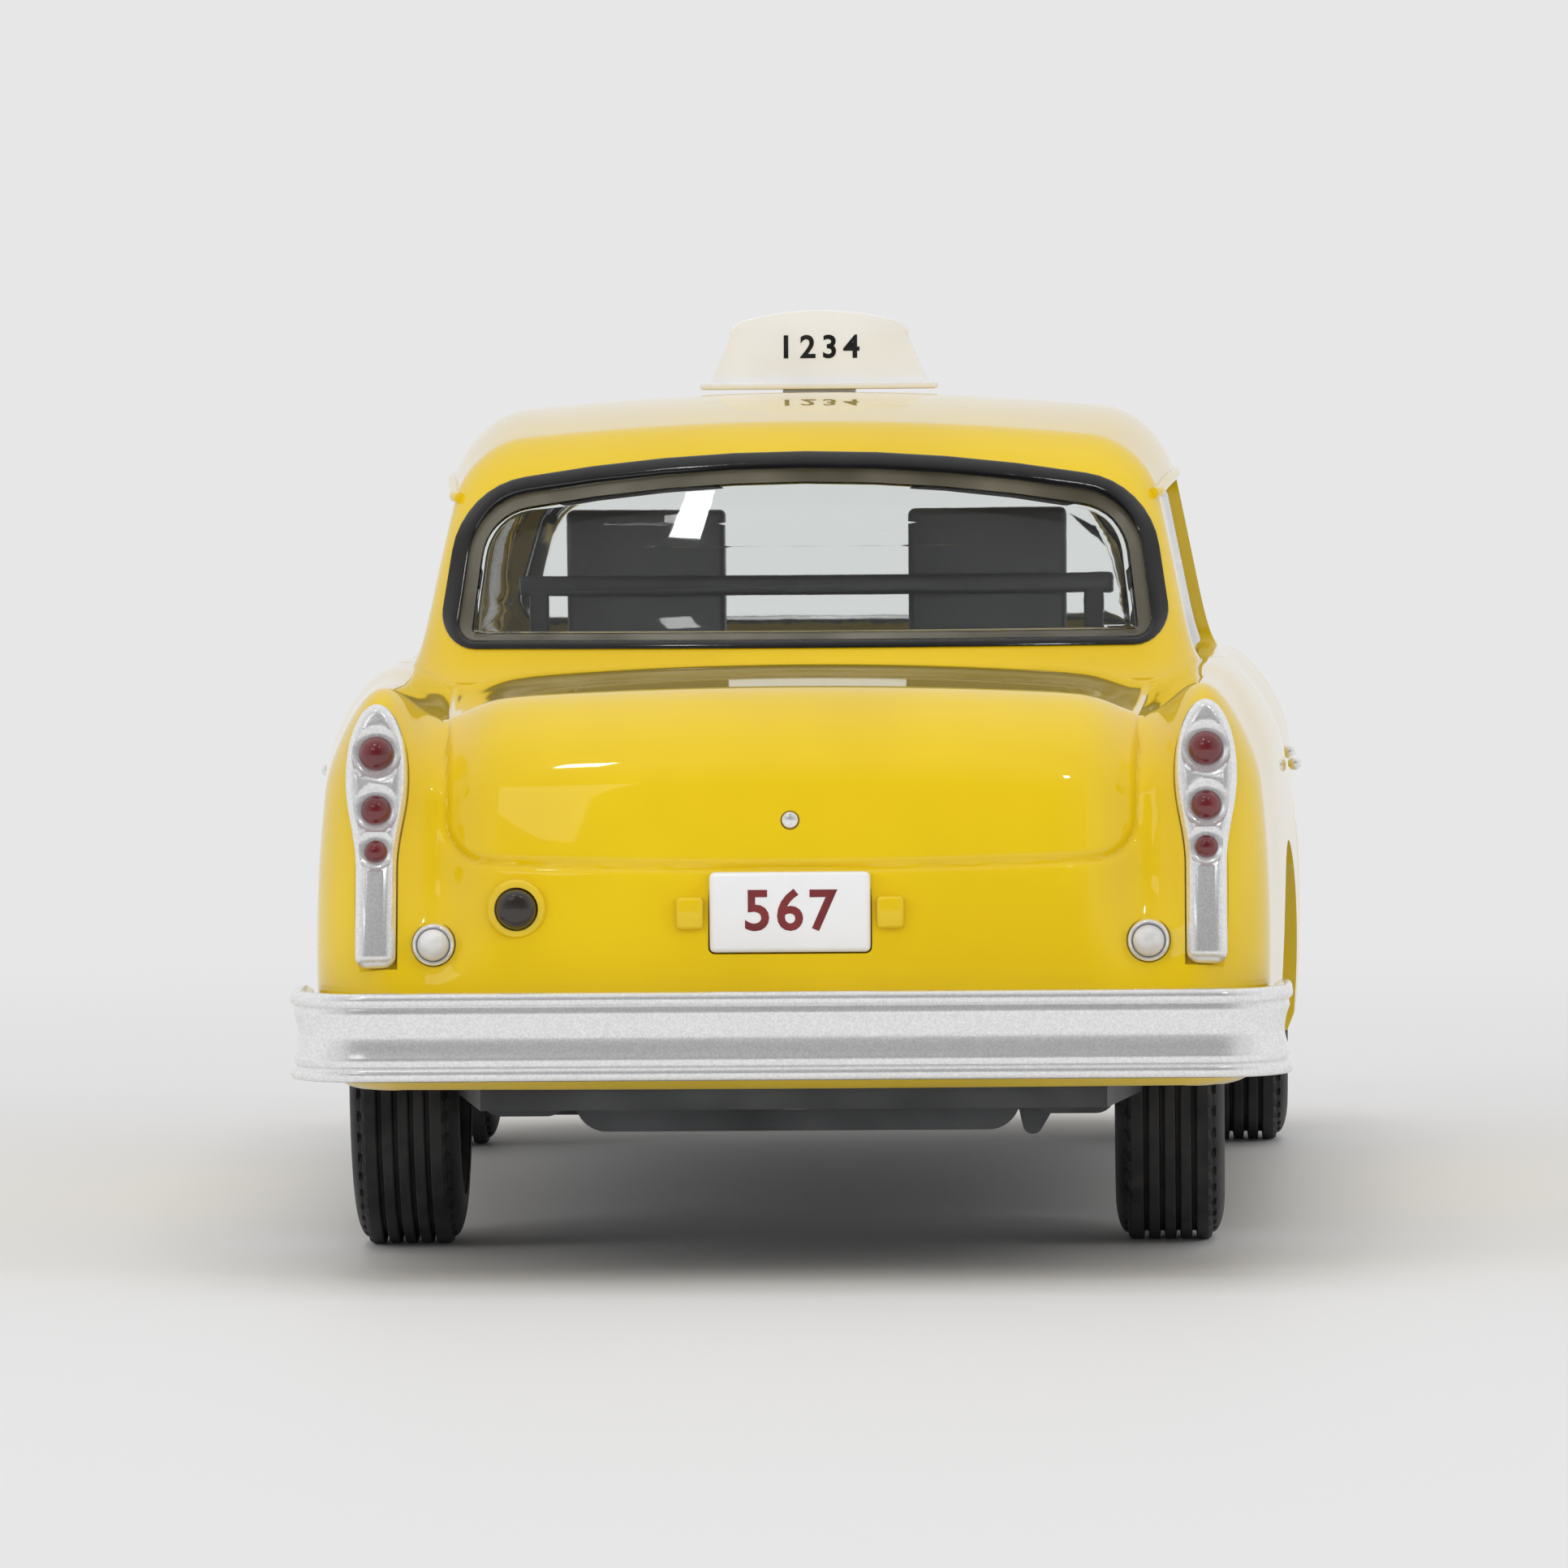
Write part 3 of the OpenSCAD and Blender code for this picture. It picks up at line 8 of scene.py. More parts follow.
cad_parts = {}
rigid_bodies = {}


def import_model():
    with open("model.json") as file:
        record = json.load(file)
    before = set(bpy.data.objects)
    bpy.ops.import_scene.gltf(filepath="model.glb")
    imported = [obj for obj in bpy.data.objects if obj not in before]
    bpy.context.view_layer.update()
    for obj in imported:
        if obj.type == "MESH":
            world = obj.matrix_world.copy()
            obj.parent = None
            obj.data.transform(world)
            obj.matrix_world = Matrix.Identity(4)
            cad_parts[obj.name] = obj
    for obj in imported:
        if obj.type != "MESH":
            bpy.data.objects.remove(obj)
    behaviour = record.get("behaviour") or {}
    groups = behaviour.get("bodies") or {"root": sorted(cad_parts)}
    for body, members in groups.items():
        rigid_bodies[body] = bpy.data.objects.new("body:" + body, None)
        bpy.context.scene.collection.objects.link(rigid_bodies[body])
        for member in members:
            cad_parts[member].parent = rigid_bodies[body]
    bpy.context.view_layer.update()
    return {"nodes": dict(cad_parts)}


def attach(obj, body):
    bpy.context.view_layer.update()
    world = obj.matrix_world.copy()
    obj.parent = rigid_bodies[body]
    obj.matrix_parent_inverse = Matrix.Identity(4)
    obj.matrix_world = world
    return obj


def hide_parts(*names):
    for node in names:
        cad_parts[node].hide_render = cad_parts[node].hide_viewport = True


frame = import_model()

cad_node = frame["nodes"]
MM = 0.001

# ---- Body casting ----
# One zinc die casting with the lower body, the cabin and the tail fins in one piece. It is sprayed
# glossy yellow, so its panel lines are soft grooves that the paint has half filled.

car_len, body_w, roof_z = 81.3, 30.2, 25.5
wheelbase, rear_overhang, bumper_reach = 47.6, 19.4, 1.9
sill_z, boot_z, cowl_z, nose_z, wall = 5.4, 17.1, 17.0, 15.6, 1.0
nose_taper, tail_taper, tail_rake, nose_rake = 0.7, 1.2, 2.3, 1.4
valley_x, valley_depth, fin_rise, shoulder_rise, tail_lamp_x = 10.4, 0.9, 0.8, 0.45, 12.15
bumper_z, bumper_h = 6.0, 2.6
screen_y, backlight_y = -13.5, 22.0
cabin_half_w, cabin_lean, cabin_rake, cabin_foot_z = 12.45, 1.6, 4.4, 15.4
arch_r, tyre_r = 6.5, 5.55

rear_axle_y = car_len / 2 - rear_overhang
front_axle_y = rear_axle_y - wheelbase
tail_y = car_len / 2 - bumper_reach
nose_y = -tail_y
half_w = body_w / 2
box_top = 16.5
pillar_y = rear_axle_y - 20


def ease(t):
    c = np.clip(t, 0, 1)
    return c * c * (3 - 2 * c)


def bell(t):
    return np.exp(-t * t)


def smooth_curve(table, y):
    """Value at y of the smooth curve through [place, value] pairs in rising order."""
    places, values = np.array(table, float).T
    last = len(places) - 1
    steps = np.array([
        (values[min(i + 1, last)] - values[max(i - 1, 0)]) / (places[min(i + 1, last)] - places[max(i - 1, 0)])
        for i in range(last + 1)
    ])
    y = np.clip(y, places[0], places[-1])
    i = np.clip(np.searchsorted(places, y, side="left") - 1, 0, last - 1)
    d = places[i + 1] - places[i]
    u = (y - places[i]) / d
    v = 1 - u
    return (values[i] * (1 + 2 * u) * v * v + values[i + 1] * u * u * (3 - 2 * u)
            + steps[i] * d * u * v * v - steps[i + 1] * d * u * u * v)


width_curve = [
    [nose_y, half_w - nose_taper], [nose_y + 5, half_w - nose_taper / 4], [front_axle_y, half_w],
    [rear_axle_y - 12, half_w], [rear_axle_y, half_w - tail_taper / 3], [tail_y, half_w - tail_taper],
]
top_curve = [
    [nose_y, nose_z], [front_axle_y, (nose_z + cowl_z) / 2 + 0.1], [screen_y, cowl_z],
    [backlight_y, boot_z + 0.5], [tail_y - 8, boot_z + 0.25], [tail_y, boot_z],
]


def rounded_box(p, low, high, radii, foot_radius):
    """Moves points of a box on to the same box with rounded edges."""
    low, high = np.array(low, float), np.array(high, float)
    r = np.tile(np.array(radii, float), (len(p), 1))
    r[:, 2] = np.where(p[:, 2] < (low[2] + high[2]) / 2, foot_radius, r[:, 2])
    q = np.clip(p, low + r, high - r)
    d = (p - q) / r
    n = np.linalg.norm(d, axis=1, keepdims=True)
    return np.where(n > 0, q + r * d / np.where(n > 0, n, 1), p)


def body_skin(p, inset=0.0):
    """Points of the body's box to points of its skin."""
    low = [-half_w + inset, nose_y + inset, sill_z - (2 if inset else 0)]
    high = [half_w - inset, tail_y - inset, box_top - inset]
    rx, ry, rz = rounded_box(p, low, high, [2.6 - inset, 2.8 - inset, 2.6 - inset], 0.8).T
    rise = np.clip((rz - sill_z) / (box_top - sill_z), 0, 1)
    z = rz + rise * (smooth_curve(top_curve, ry) - box_top)
    x = rx * smooth_curve(width_curve, ry) / half_w * (1 - 0.028 * ((z - 10) / 6) ** 2)
    to_tail, to_nose = ease((ry - tail_y + 14) / 14), ease((nose_y + 14 - ry) / 14)
    ends = ease((ry - tail_y + 6) / 5) + ease((nose_y + 6 - ry) / 5)
    valley = bell((abs(x) - valley_x) / 1.15) * np.where(ry < 0, 0.5, 1)
    crown = ease((rise - 0.72) / 0.28)
    foot = bumper_z + bumper_h
    lean = np.clip((z - foot) / (boot_z - foot), 0, 1) ** 1.3
    waist = 0.5 * bell((ry - 2) / 11) * ease((z - 11.5) / 3.5)
    bow = 0.5 * (x / 10) ** 2
    fin = to_tail * crown * bell((abs(x) - tail_lamp_x - 0.15) / 1.3)
    shoulder = (1 - to_tail) * (1 + to_nose) * crown * bell((abs(x) - 13) / 1.6)
    return np.stack([
        x - np.sign(rx) * waist * np.clip(abs(x) / 6, 0, 1),
        ry - to_tail * (tail_rake * lean + bow) + to_nose * (nose_rake * lean + bow) + fin
        - (to_tail - to_nose) * ends * valley_depth * valley * ease((z - 8) / 4),
        z + fin_rise * fin + shoulder_rise * shoulder - rise * 0.35 * (np.minimum(abs(x), 10) / 10) ** 2
        - crown * valley_depth * valley * (0.35 + 0.35 * (to_tail + to_nose)),
    ], axis=1)


def cabin_skin(p, inset=0.0, foot_z=cabin_foot_z):
    """Points of the cabin's box to points of its skin."""
    low = [-cabin_half_w + inset, screen_y + inset, foot_z]
    high = [cabin_half_w - inset, backlight_y - inset, roof_z - inset]
    rx, ry, rz = rounded_box(p, low, high, [2 - inset, 2 - inset, 2.2 - inset], 0.3).T
    foot = cabin_foot_z + 1.4
    up = np.clip((rz - foot) / (roof_z - foot), 0, 1)
    along = (ry - (screen_y + backlight_y) / 2) / ((backlight_y - screen_y) / 2)
    flare = 0.5 * np.exp(-np.maximum(rz - cowl_z, 0) / 0.5)
    x = rx * (1 - up * cabin_lean / cabin_half_w) + np.sign(rx) * flare * np.clip(abs(rx) / 6, 0, 1)
    return np.stack([
        x * (1 - 0.045 * ease((ry - 6) / 16) - 0.035 * ease((-ry - 2) / 12)),
        ry - along * up * cabin_rake - 1.3 * along * abs(along) * (x / 11) ** 2 + along * flare,
        rz - up * up * (0.9 * along ** 2 + 0.45 * (x / 9) ** 2),
    ], axis=1)


def spaced(*spans):
    """Places along an edge from (start, stop, step) spans."""
    return np.unique(np.round(np.concatenate([
        np.linspace(a, b, max(2, round((b - a) / s) + 1)) for a, b, s in spans]), 4))


def both_ways(places):
    return np.unique(np.concatenate([-places, places]))


def solid(name, points, faces):
    """A new closed mesh from points in millimetres, alone in the selection."""
    mesh = bpy.data.meshes.new(name)
    mesh.from_pydata([tuple(p) for p in points], [], [tuple(int(i) for i in f) for f in faces])
    obj = bpy.data.objects.new(name, mesh)
    bpy.context.scene.collection.objects.link(obj)
    pick(obj)
    bpy.ops.object.mode_set(mode="EDIT")
    bpy.ops.mesh.select_all(action="SELECT")
    bpy.ops.mesh.remove_doubles(threshold=0.0008)
    bpy.ops.mesh.normals_make_consistent(inside=False)
    bpy.ops.object.mode_set(mode="OBJECT")
    return obj


def pick_none():
    for o in bpy.context.view_layer.objects:
        o.select_set(False)


def pick(obj):
    pick_none()
    obj.select_set(True)
    bpy.context.view_layer.objects.active = obj


def box_form(name, xs, ys, zs, skin):
    """A closed grid over the six faces of a box, moved on to a skin."""
    grids, axes, first = [], [xs, ys, zs], 0
    faces = []
    for axis in range(3):
        a, b = (axis + 1) % 3, (axis + 2) % 3
        for side in (0, -1):
            u, v = np.meshgrid(axes[a], axes[b], indexing="ij")
            p = np.empty((u.size, 3))
            p[:, axis], p[:, a], p[:, b] = axes[axis][side], u.ravel(), v.ravel()
            nu, nv = u.shape
            i = first + np.arange(nu - 1)[:, None] * nv + np.arange(nv - 1)[None, :]
            i = i.ravel()
            quads = np.stack([i, i + 1, i + nv + 1, i + nv], axis=1)
            faces.append(quads if side == 0 else quads[:, ::-1])
            grids.append(p)
            first += u.size
    return solid(name, skin(np.concatenate(grids)), np.concatenate(faces))


def combine(obj, other, operation="DIFFERENCE"):
    pick(obj)
    step = obj.modifiers.new("step", "BOOLEAN")
    step.operation, step.solver, step.object = operation, "MANIFOLD", other
    bpy.ops.object.modifier_apply(modifier="step")
    bpy.data.objects.remove(other)


def between(name, near, far):
    """The closed solid between two like outlines."""
    n = len(near)
    sides = [(i, (i + 1) % n, n + (i + 1) % n, n + i) for i in range(n)]
    return solid(name, near + far, [tuple(range(n - 1, -1, -1)), tuple(range(n, 2 * n))] + sides)


def prism(name, outline, start, length, across=False):
    """A closed outline of (first, up) points, stood up and run along Y, or along X if across is true."""
    return between(name, *[[(w, u, v) if across else (u, w, v) for u, v in outline]
                           for w in (start, start + length)])


def rounded_outline(corners, steps=12):
    """The outline round circles given as (across, up, radius), in turning order."""
    points = []
    n = len(corners)
    for i, (x, z, r) in enumerate(corners):
        tangents = []
        for (ax, az, ar), (bx, bz, br) in ((corners[i - 1], corners[i]), (corners[i], corners[(i + 1) % n])):
            length = math.hypot(bx - ax, bz - az)
            tangents.append(math.atan2(bz - az, bx - ax) - math.pi / 2 - math.asin((br - ar) / length))
        a, b = tangents
        while b < a:
            b += 2 * math.pi
        points += [(x + r * math.cos(t), z + r * math.sin(t)) for t in np.linspace(a, b, steps + 1)]
    return points


def with_steps(outline, step=0.5):
    """The same outline with points added along its straight runs."""
    points = []
    for (x0, z0), (x1, z1) in zip(outline, outline[1:] + outline[:1]):
        count = max(1, round(math.hypot(x1 - x0, z1 - z0) / step))
        points += [(x0 + (x1 - x0) * k / count, z0 + (z1 - z0) * k / count) for k in range(count)]
    return points


def end_window(sill, head, low, high, grow=0.0):
    """Window outline with small lower corners, wide upper ones and an arched head."""
    shoulder, droop = 2.2, 0.7
    arch = [(u * (high - shoulder), head - shoulder - droop * u * u, shoulder + grow)
            for u in np.linspace(1, -1, 9)]
    corner = 0.62
    feet = [(side * (low - corner), sill + corner + grow / 2, corner + grow) for side in (-1, 1)]
    return with_steps(rounded_outline(feet + arch, 8))


def rear_window_outline(grow=0.0):
    return end_window(18.2, 23.45, 10.62, 10.38, grow)


def windscreen_outline(grow=0.0):
    return end_window(18.0, 23.1, 10.0, 9.4, grow)


def side_window_outlines(grow=0.0):
    """Front and rear door glass of one side, seen along X."""
    front, belt, head = screen_y + 3.4, 17.4, 22.7
    panes = [
        [(front, belt), (pillar_y - 0.7, belt), (pillar_y - 0.7, head), (front + 3.4, head)],
        [(pillar_y + 0.7, belt), (rear_axle_y - 3.4, belt), (rear_axle_y - 6.2, head), (pillar_y + 0.7, head)],
    ]
    corner = 0.5
    inward = [(corner, corner), (-corner, corner), (-corner, -corner), (corner, -corner)]
    return [with_steps(rounded_outline(
        [(y + dy, z + dz, corner + grow) for (y, z), (dy, dz) in zip(pane, inward)], 8)) for pane in panes]


def circle_outline(x, z, r, steps=32):
    return [(x + r * math.cos(2 * math.pi * k / steps), z + r * math.sin(2 * math.pi * k / steps))
            for k in range(steps)]


# the lower body, with finer steps where the lid and door lines run
lid_half, lid_foot_z, lid_corner, lid_front_y = 11.04, 12.2, 1.2, 24.6
door_lines = [screen_y + 1.2, pillar_y, rear_axle_y - 7.4]
xs = both_ways(spaced((0, 9.4, 0.75), (9.4, 11.4, 0.08), (11.4, half_w, 0.19)))
ys = spaced((nose_y, nose_y + 3.2, 0.25), (nose_y + 3.2, 30, 0.9), (30, tail_y - 3.2, 0.5),
            (tail_y - 3.2, tail_y, 0.2), (lid_front_y - 0.35, lid_front_y + 0.35, 0.07),
            *[(y - 0.3, y + 0.3, 0.06) for y in door_lines])
zs = spaced((sill_z, 11.4, 0.5), (11.4, 13.2, 0.075), (13.2, box_top, 0.2))
body = box_form("body_casting", xs, ys, zs, body_skin)


def press_in_lines(obj):
    """Sinks the lid and door lines into the lower body along its normals."""
    count = len(obj.data.vertices)
    at, normal = np.empty(count * 3), np.empty(count * 3)
    obj.data.vertices.foreach_get("co", at)
    obj.data.vertices.foreach_get("normal", normal)
    at, normal = at.reshape(-1, 3), normal.reshape(-1, 3)
    x, y, z = at.T
    scale = smooth_curve(width_curve, y) / half_w * 0.99
    a = abs(x) / scale
    b = z - 0.12 * (np.minimum(a, 10) / 8) ** 2 + 0.1
    # distance to the rounded outline of the lid, open at the top, then its front edge on the deck
    dx, dz = a - (lid_half - lid_corner), (lid_foot_z + lid_corner) - b
    outline = np.where((dx > 0) & (dz > 0), np.hypot(dx, dz), np.maximum(dx, dz)) - lid_corner
    on_lid = (y > lid_front_y - 0.4) & (z > 11)
    lid = np.where(on_lid, bell(outline / 0.11), 0)
    front_edge = np.where((z > 16) & (a < lid_half), bell((y - lid_front_y) / 0.11), 0)
    doors = np.zeros(count)
    for line in door_lines:
        doors = np.maximum(doors, bell((y - line) / 0.09) * ease((z - 6.2) / 0.4) * (a > 12.2))
    sink = np.maximum(0.11 * np.maximum(lid, front_edge), 0.13 * doors)
    # the lid itself stands a little proud of the skin round it
    proud = np.where(on_lid & (y > lid_front_y), 0.05 * ease(-outline / 0.25), 0) * ease((z - 11) / 0.5)
    at += normal * (proud - sink)[:, None]
    obj.data.vertices.foreach_set("co", at.ravel())
    obj.data.update()


press_in_lines(body)

cabin = box_form("cabin", both_ways(spaced((0, 9, 0.75), (9, cabin_half_w, 0.25))),
                 spaced((screen_y, screen_y + 2.6, 0.25), (screen_y + 2.6, backlight_y - 2.6, 0.8),
                        (backlight_y - 2.6, backlight_y, 0.2)),
                 spaced((cabin_foot_z, 17, 0.4), (17, 18, 0.12), (18, 22.4, 0.4), (22.4, roof_z, 0.2)),
                 cabin_skin)
combine(body, cabin, "UNION")

# bosses of the plate lamps and of the fuel filler
plate_w, plate_h, plate_z, plate_seat_y = 4.7, 2.35, 10.8, tail_y - 0.7
fuel_x, fuel_z, fuel_r, fuel_seat_y = 8.0, 10.92, 0.6, tail_y - 1.0
reversing_x, reversing_z, reversing_r, reversing_seat_y = 10.45, 9.88, 0.48, tail_y - 1.5
lock_z, lock_r, lock_y = 13.45, 0.24, tail_y - 1.3


def soften_edges(obj, width, segments, sharp=30):
    """Rounds the edges where faces meet at more than a sharp angle in degrees."""
    pick(obj)
    edge = obj.modifiers.new("edge", "BEVEL")
    edge.width, edge.segments = width, segments
    edge.limit_method, edge.angle_limit = "ANGLE", math.radians(sharp)
    bpy.ops.object.modifier_apply(modifier="edge")


def softened_block(name, low, high, radius, segments=3):
    """A block between two corners with its edges rounded."""
    pick_none()
    bpy.ops.mesh.primitive_cube_add(size=1)
    obj = bpy.context.active_object
    obj.name = name
    middle, size = (Vector(high) + Vector(low)) / 2, Vector(high) - Vector(low)
    obj.data.transform(Matrix.Translation(middle) @ Matrix.Diagonal((*size, 1)))
    soften_edges(obj, radius, segments)
    return obj


for side in (-1, 1):
    x = side * 2.93
    combine(body, softened_block("plate_lamp", (x - 0.4, tail_y - 1.5, plate_z - 0.5),
                                 (x + 0.4, tail_y - 0.12, plate_z + 0.45), 0.13), "UNION")


def turned(name, profile, at, axis="Y", steps=64):
    """A closed solid turned round an axis: profile is (radius, along) from the axis back to the axis."""
    angles = np.linspace(0, 2 * math.pi, steps, endpoint=False)
    points, faces, rings = [], [], []
    for r, along in profile:
        if r < 1e-6:
            rings.append([len(points)] * steps)
            points.append((0, 0, along))
        else:
            rings.append(list(range(len(points), len(points) + steps)))
            points += [(r * math.cos(a), r * math.sin(a), along) for a in angles]
    for lower, upper in zip(rings, rings[1:]):
        for i in range(steps):
            j = (i + 1) % steps
            face = list(dict.fromkeys([lower[i], lower[j], upper[j], upper[i]]))
            if len(face) > 2:
                faces.append(face)
    if profile[0][0] > 1e-6:
        for i in range(steps):
            j = (i + 1) % steps
            faces.append([rings[-1][i], rings[-1][j], rings[0][j], rings[0][i]])
    move = Matrix.Translation(at)
    if axis == "Y":
        move = move @ Matrix.Rotation(math.radians(-90), 4, "X")
    return solid(name, [move @ Vector(p) for p in points], faces)


combine(body, turned("filler_boss", [(0, -0.8), (fuel_r + 0.26, -0.8), (fuel_r + 0.26, 0.42), (fuel_r + 0.2, 0.5),
                                     (fuel_r - 0.1, 0.5), (0, 0.5)], (fuel_x, fuel_seat_y, fuel_z)), "UNION")

# the hollow inside, and the openings
inner_xs = both_ways(spaced((0, half_w - wall, 1.6)))
inner_zs = spaced((sill_z - 2, box_top - wall, 1.2))
hollow = box_form("hollow", inner_xs, spaced((nose_y + wall, tail_y - wall, 1.5)), inner_zs,
                  lambda p: body_skin(p, wall))
combine(body, hollow)
hollow = box_form("hollow", both_ways(spaced((0, cabin_half_w - wall, 0.5))),
                  spaced((screen_y + wall, backlight_y - wall, 0.7)),
                  spaced((cabin_foot_z - 1.5, roof_z - wall, 0.5)),
                  lambda p: cabin_skin(p, wall, cabin_foot_z - 1.5))
combine(body, hollow)
for y in (front_axle_y, rear_axle_y):
    arch = [(y + arch_r * math.cos(a), tyre_r + arch_r * math.sin(a)) for a in np.linspace(0, math.pi, 73)]
    arch += [(y - arch_r, sill_z - 2), (y + arch_r, sill_z - 2)]
    combine(body, prism("arch", arch, -half_w - 1, 2 * half_w + 2, True))
combine(body, prism("rear_light", rear_window_outline(), backlight_y - 6, 9))
combine(body, prism("front_light", windscreen_outline(), screen_y - 3, 12))
for outline in side_window_outlines():
    combine(body, prism("side_light", outline, -half_w - 1, 2 * half_w + 2, True))


def top_patch(name, half, y0, y1, below, above, steps=40):
    """A sheet of the top skin with a thickness below and above it."""
    i, j = np.meshgrid(np.linspace(-1, 1, steps + 1), np.linspace(0, 1, steps + 1), indexing="xy")
    top = body_skin(np.stack([i.ravel() * half, y0 + (y1 - y0) * j.ravel() ** 1.25, np.full(i.size, box_top)],
                             axis=1))
    n = steps + 1
    quads = [(a, a + 1, a + n + 1, a + n) for r in range(steps) for a in range(r * n, r * n + steps)]
    rim = (list(range(n)) + [k * n + steps for k in range(1, n)]
           + [steps * n + k for k in range(steps - 1, -1, -1)] + [k * n for k in range(steps - 1, 0, -1)])
    m = len(top)
    walls = [(a, m + a, m + b, b) for a, b in zip(rim, rim[1:] + rim[:1])]
    points = np.concatenate([top + [0, 0, above], top - [0, 0, below]])
    return solid(name, points, quads + [tuple(m + v for v in q[::-1]) for q in quads] + walls)


bonnet_half, bonnet_rear_y, bonnet_gap = 9.5, -17.0, 0.15
combine(body, top_patch("bonnet_opening", bonnet_half + bonnet_gap, nose_y - bonnet_gap,
                        bonnet_rear_y + 0.35, 4, 3))

# seats of the trim pieces
tail_lean = math.radians(16)
tail_seat = Vector((tail_lamp_x, tail_y - 2.3, 12.9))


def tail_lamp_outline(grow=0.0):
    """The drop with its tongue, round the middle of its seat."""
    tongue_half, widest, tongue_foot_z, flank_z, flank_h = 0.6, 0.91, 8.95, 12.0, 2.6
    crown_z, crown_r, seat_z = 14.7, 2.2, tail_seat.z
    outline = [(tongue_half + grow, tongue_foot_z - grow), (tongue_half + grow, flank_z)]
    # flank up to the widest place, then round the crown
    outline += [(tongue_half + (widest - tongue_half) * float(ease(t)) + grow, flank_z + flank_h * t)
                for t in np.linspace(0.1, 1, 12)]
    outline += [((widest + grow) * math.cos(a), crown_z + (crown_r + grow) * math.sin(a))
                for a in np.linspace(0.06, math.pi / 2, 22)]
    return [(x, z - seat_z) for x, z in outline] + [(-x, z - seat_z) for x, z in outline[-2::-1]]


def on_tail_seat(side):
    middle = Matrix.Translation((side * tail_seat.x, tail_seat.y, tail_seat.z))
    return middle @ Matrix.Rotation(math.radians(90) + tail_lean, 4, "X")


def plate_of(name, outline, low, high, move):
    """An outline of (x, y) points, thick from low to high, then moved."""
    return between(name, *[[move @ Vector((x, y, z)) for x, y in outline] for z in (low, high)])


for side in (-1, 1):
    combine(body, plate_of("lamp_seat", tail_lamp_outline(0.04), -3, 0, on_tail_seat(side)))
combine(body, softened_block("plate_seat", (-plate_w / 2 - 0.04, plate_seat_y, plate_z - plate_h / 2 - 0.04),
                             (plate_w / 2 + 0.04, plate_seat_y + 3, plate_z + plate_h / 2 + 0.04), 0.19, 4))
combine(body, prism("filler_seat", circle_outline(fuel_x, fuel_z, fuel_r + 0.04, 64), fuel_seat_y, 3))
combine(body, prism("lock_seat", circle_outline(0, lock_z, lock_r + 0.04), lock_y, 3))
for side in (-1, 1):
    combine(body, prism("reversing_seat", circle_outline(side * reversing_x, reversing_z, reversing_r + 0.17, 48),
                        reversing_seat_y, 3))
lamp_seat_y, nose_seat_y, headlamp_z, headlamp_r = nose_y + 1.7, nose_y + 0.9, 12.3, 1.1
inner_lamp_x, outer_lamp_x, pair_r = 8.9, 11.6, 1.54
half_turn = np.linspace(-math.pi / 2, math.pi / 2, 24)
for side in (-1, 1):
    first, last = sorted([side * inner_lamp_x, side * outer_lamp_x])
    outline = [(x + way * pair_r * math.cos(a), headlamp_z + way * pair_r * math.sin(a))
               for x, way in ((last, 1), (first, -1)) for a in half_turn]
    combine(body, prism("headlamp_seat", outline, lamp_seat_y - 4, 4))
grille_half, grille_z, grille_h = inner_lamp_x - headlamp_r - 0.75, 9.1, 4.9
combine(body, prism("grille_seat", rounded_outline([
    (-grille_half + 0.8, grille_z + 0.8, 0.84), (grille_half - 0.8, grille_z + 0.8, 0.84),
    (grille_half - 1.2, grille_z + grille_h - 1.2, 1.24), (-grille_half + 1.2, grille_z + grille_h - 1.2, 1.24)]),
    nose_seat_y - 4, 6))
sign_y = -0.8
combine(body, softened_block("sign_seat", (-1.2, sign_y - 0.85, roof_z - 0.35),
                             (1.2, sign_y + 0.85, roof_z + 2), 0.05, 1))


def finish_of(name, values):
    """A new material with its node tree and its shader, whose sockets take the values by label."""
    made = bpy.data.materials.new(name)
    made.use_nodes = True
    shader = made.node_tree.nodes["Principled BSDF"]
    for label, value in values.items():
        shader.inputs[label].default_value = value
    return made, made.node_tree, shader


def new_group(name, inputs, outputs):
    group = bpy.data.node_groups.new(name, "ShaderNodeTree")
    for label, kind, value in inputs:
        socket = group.interface.new_socket(label, in_out="INPUT", socket_type=kind)
        socket.default_value = value
    for label, kind in outputs:
        group.interface.new_socket(label, in_out="OUTPUT", socket_type=kind)
    return group, group.nodes.new("NodeGroupInput"), group.nodes.new("NodeGroupOutput")


def uneven_skin_group():
    """Fine waviness of a sprayed or cast skin: two sizes of noise as a mask and as a normal."""
    group, given, out = new_group("uneven skin", [
        ("Grain", "NodeSocketFloat", 2500.0), ("Wave", "NodeSocketFloat", 250.0), ("Depth", "NodeSocketFloat", 0.1)],
        [("Mask", "NodeSocketFloat"), ("Normal", "NodeSocketVector")])
    link = group.links.new
    where = group.nodes.new("ShaderNodeTexCoord")
    fine, broad = group.nodes.new("ShaderNodeTexNoise"), group.nodes.new("ShaderNodeTexNoise")
    fine.inputs["Detail"].default_value, broad.inputs["Detail"].default_value = 3, 2
    mixed, bump = group.nodes.new("ShaderNodeMath"), group.nodes.new("ShaderNodeBump")
    mixed.operation = "MULTIPLY_ADD"
    mixed.inputs[1].default_value = 0.35
    bump.inputs["Distance"].default_value = 0.00005
    for noise, size in ((fine, "Grain"), (broad, "Wave")):
        link(where.outputs["Object"], noise.inputs["Vector"])
        link(given.outputs[size], noise.inputs["Scale"])
    link(fine.outputs["Fac"], mixed.inputs[0])
    link(broad.outputs["Fac"], mixed.inputs[2])
    link(mixed.outputs[0], bump.inputs["Height"])
    link(given.outputs["Depth"], bump.inputs["Strength"])
    link(broad.outputs["Fac"], out.inputs["Mask"])
    link(bump.outputs["Normal"], out.inputs["Normal"])
    return group


uneven_skin = uneven_skin_group()


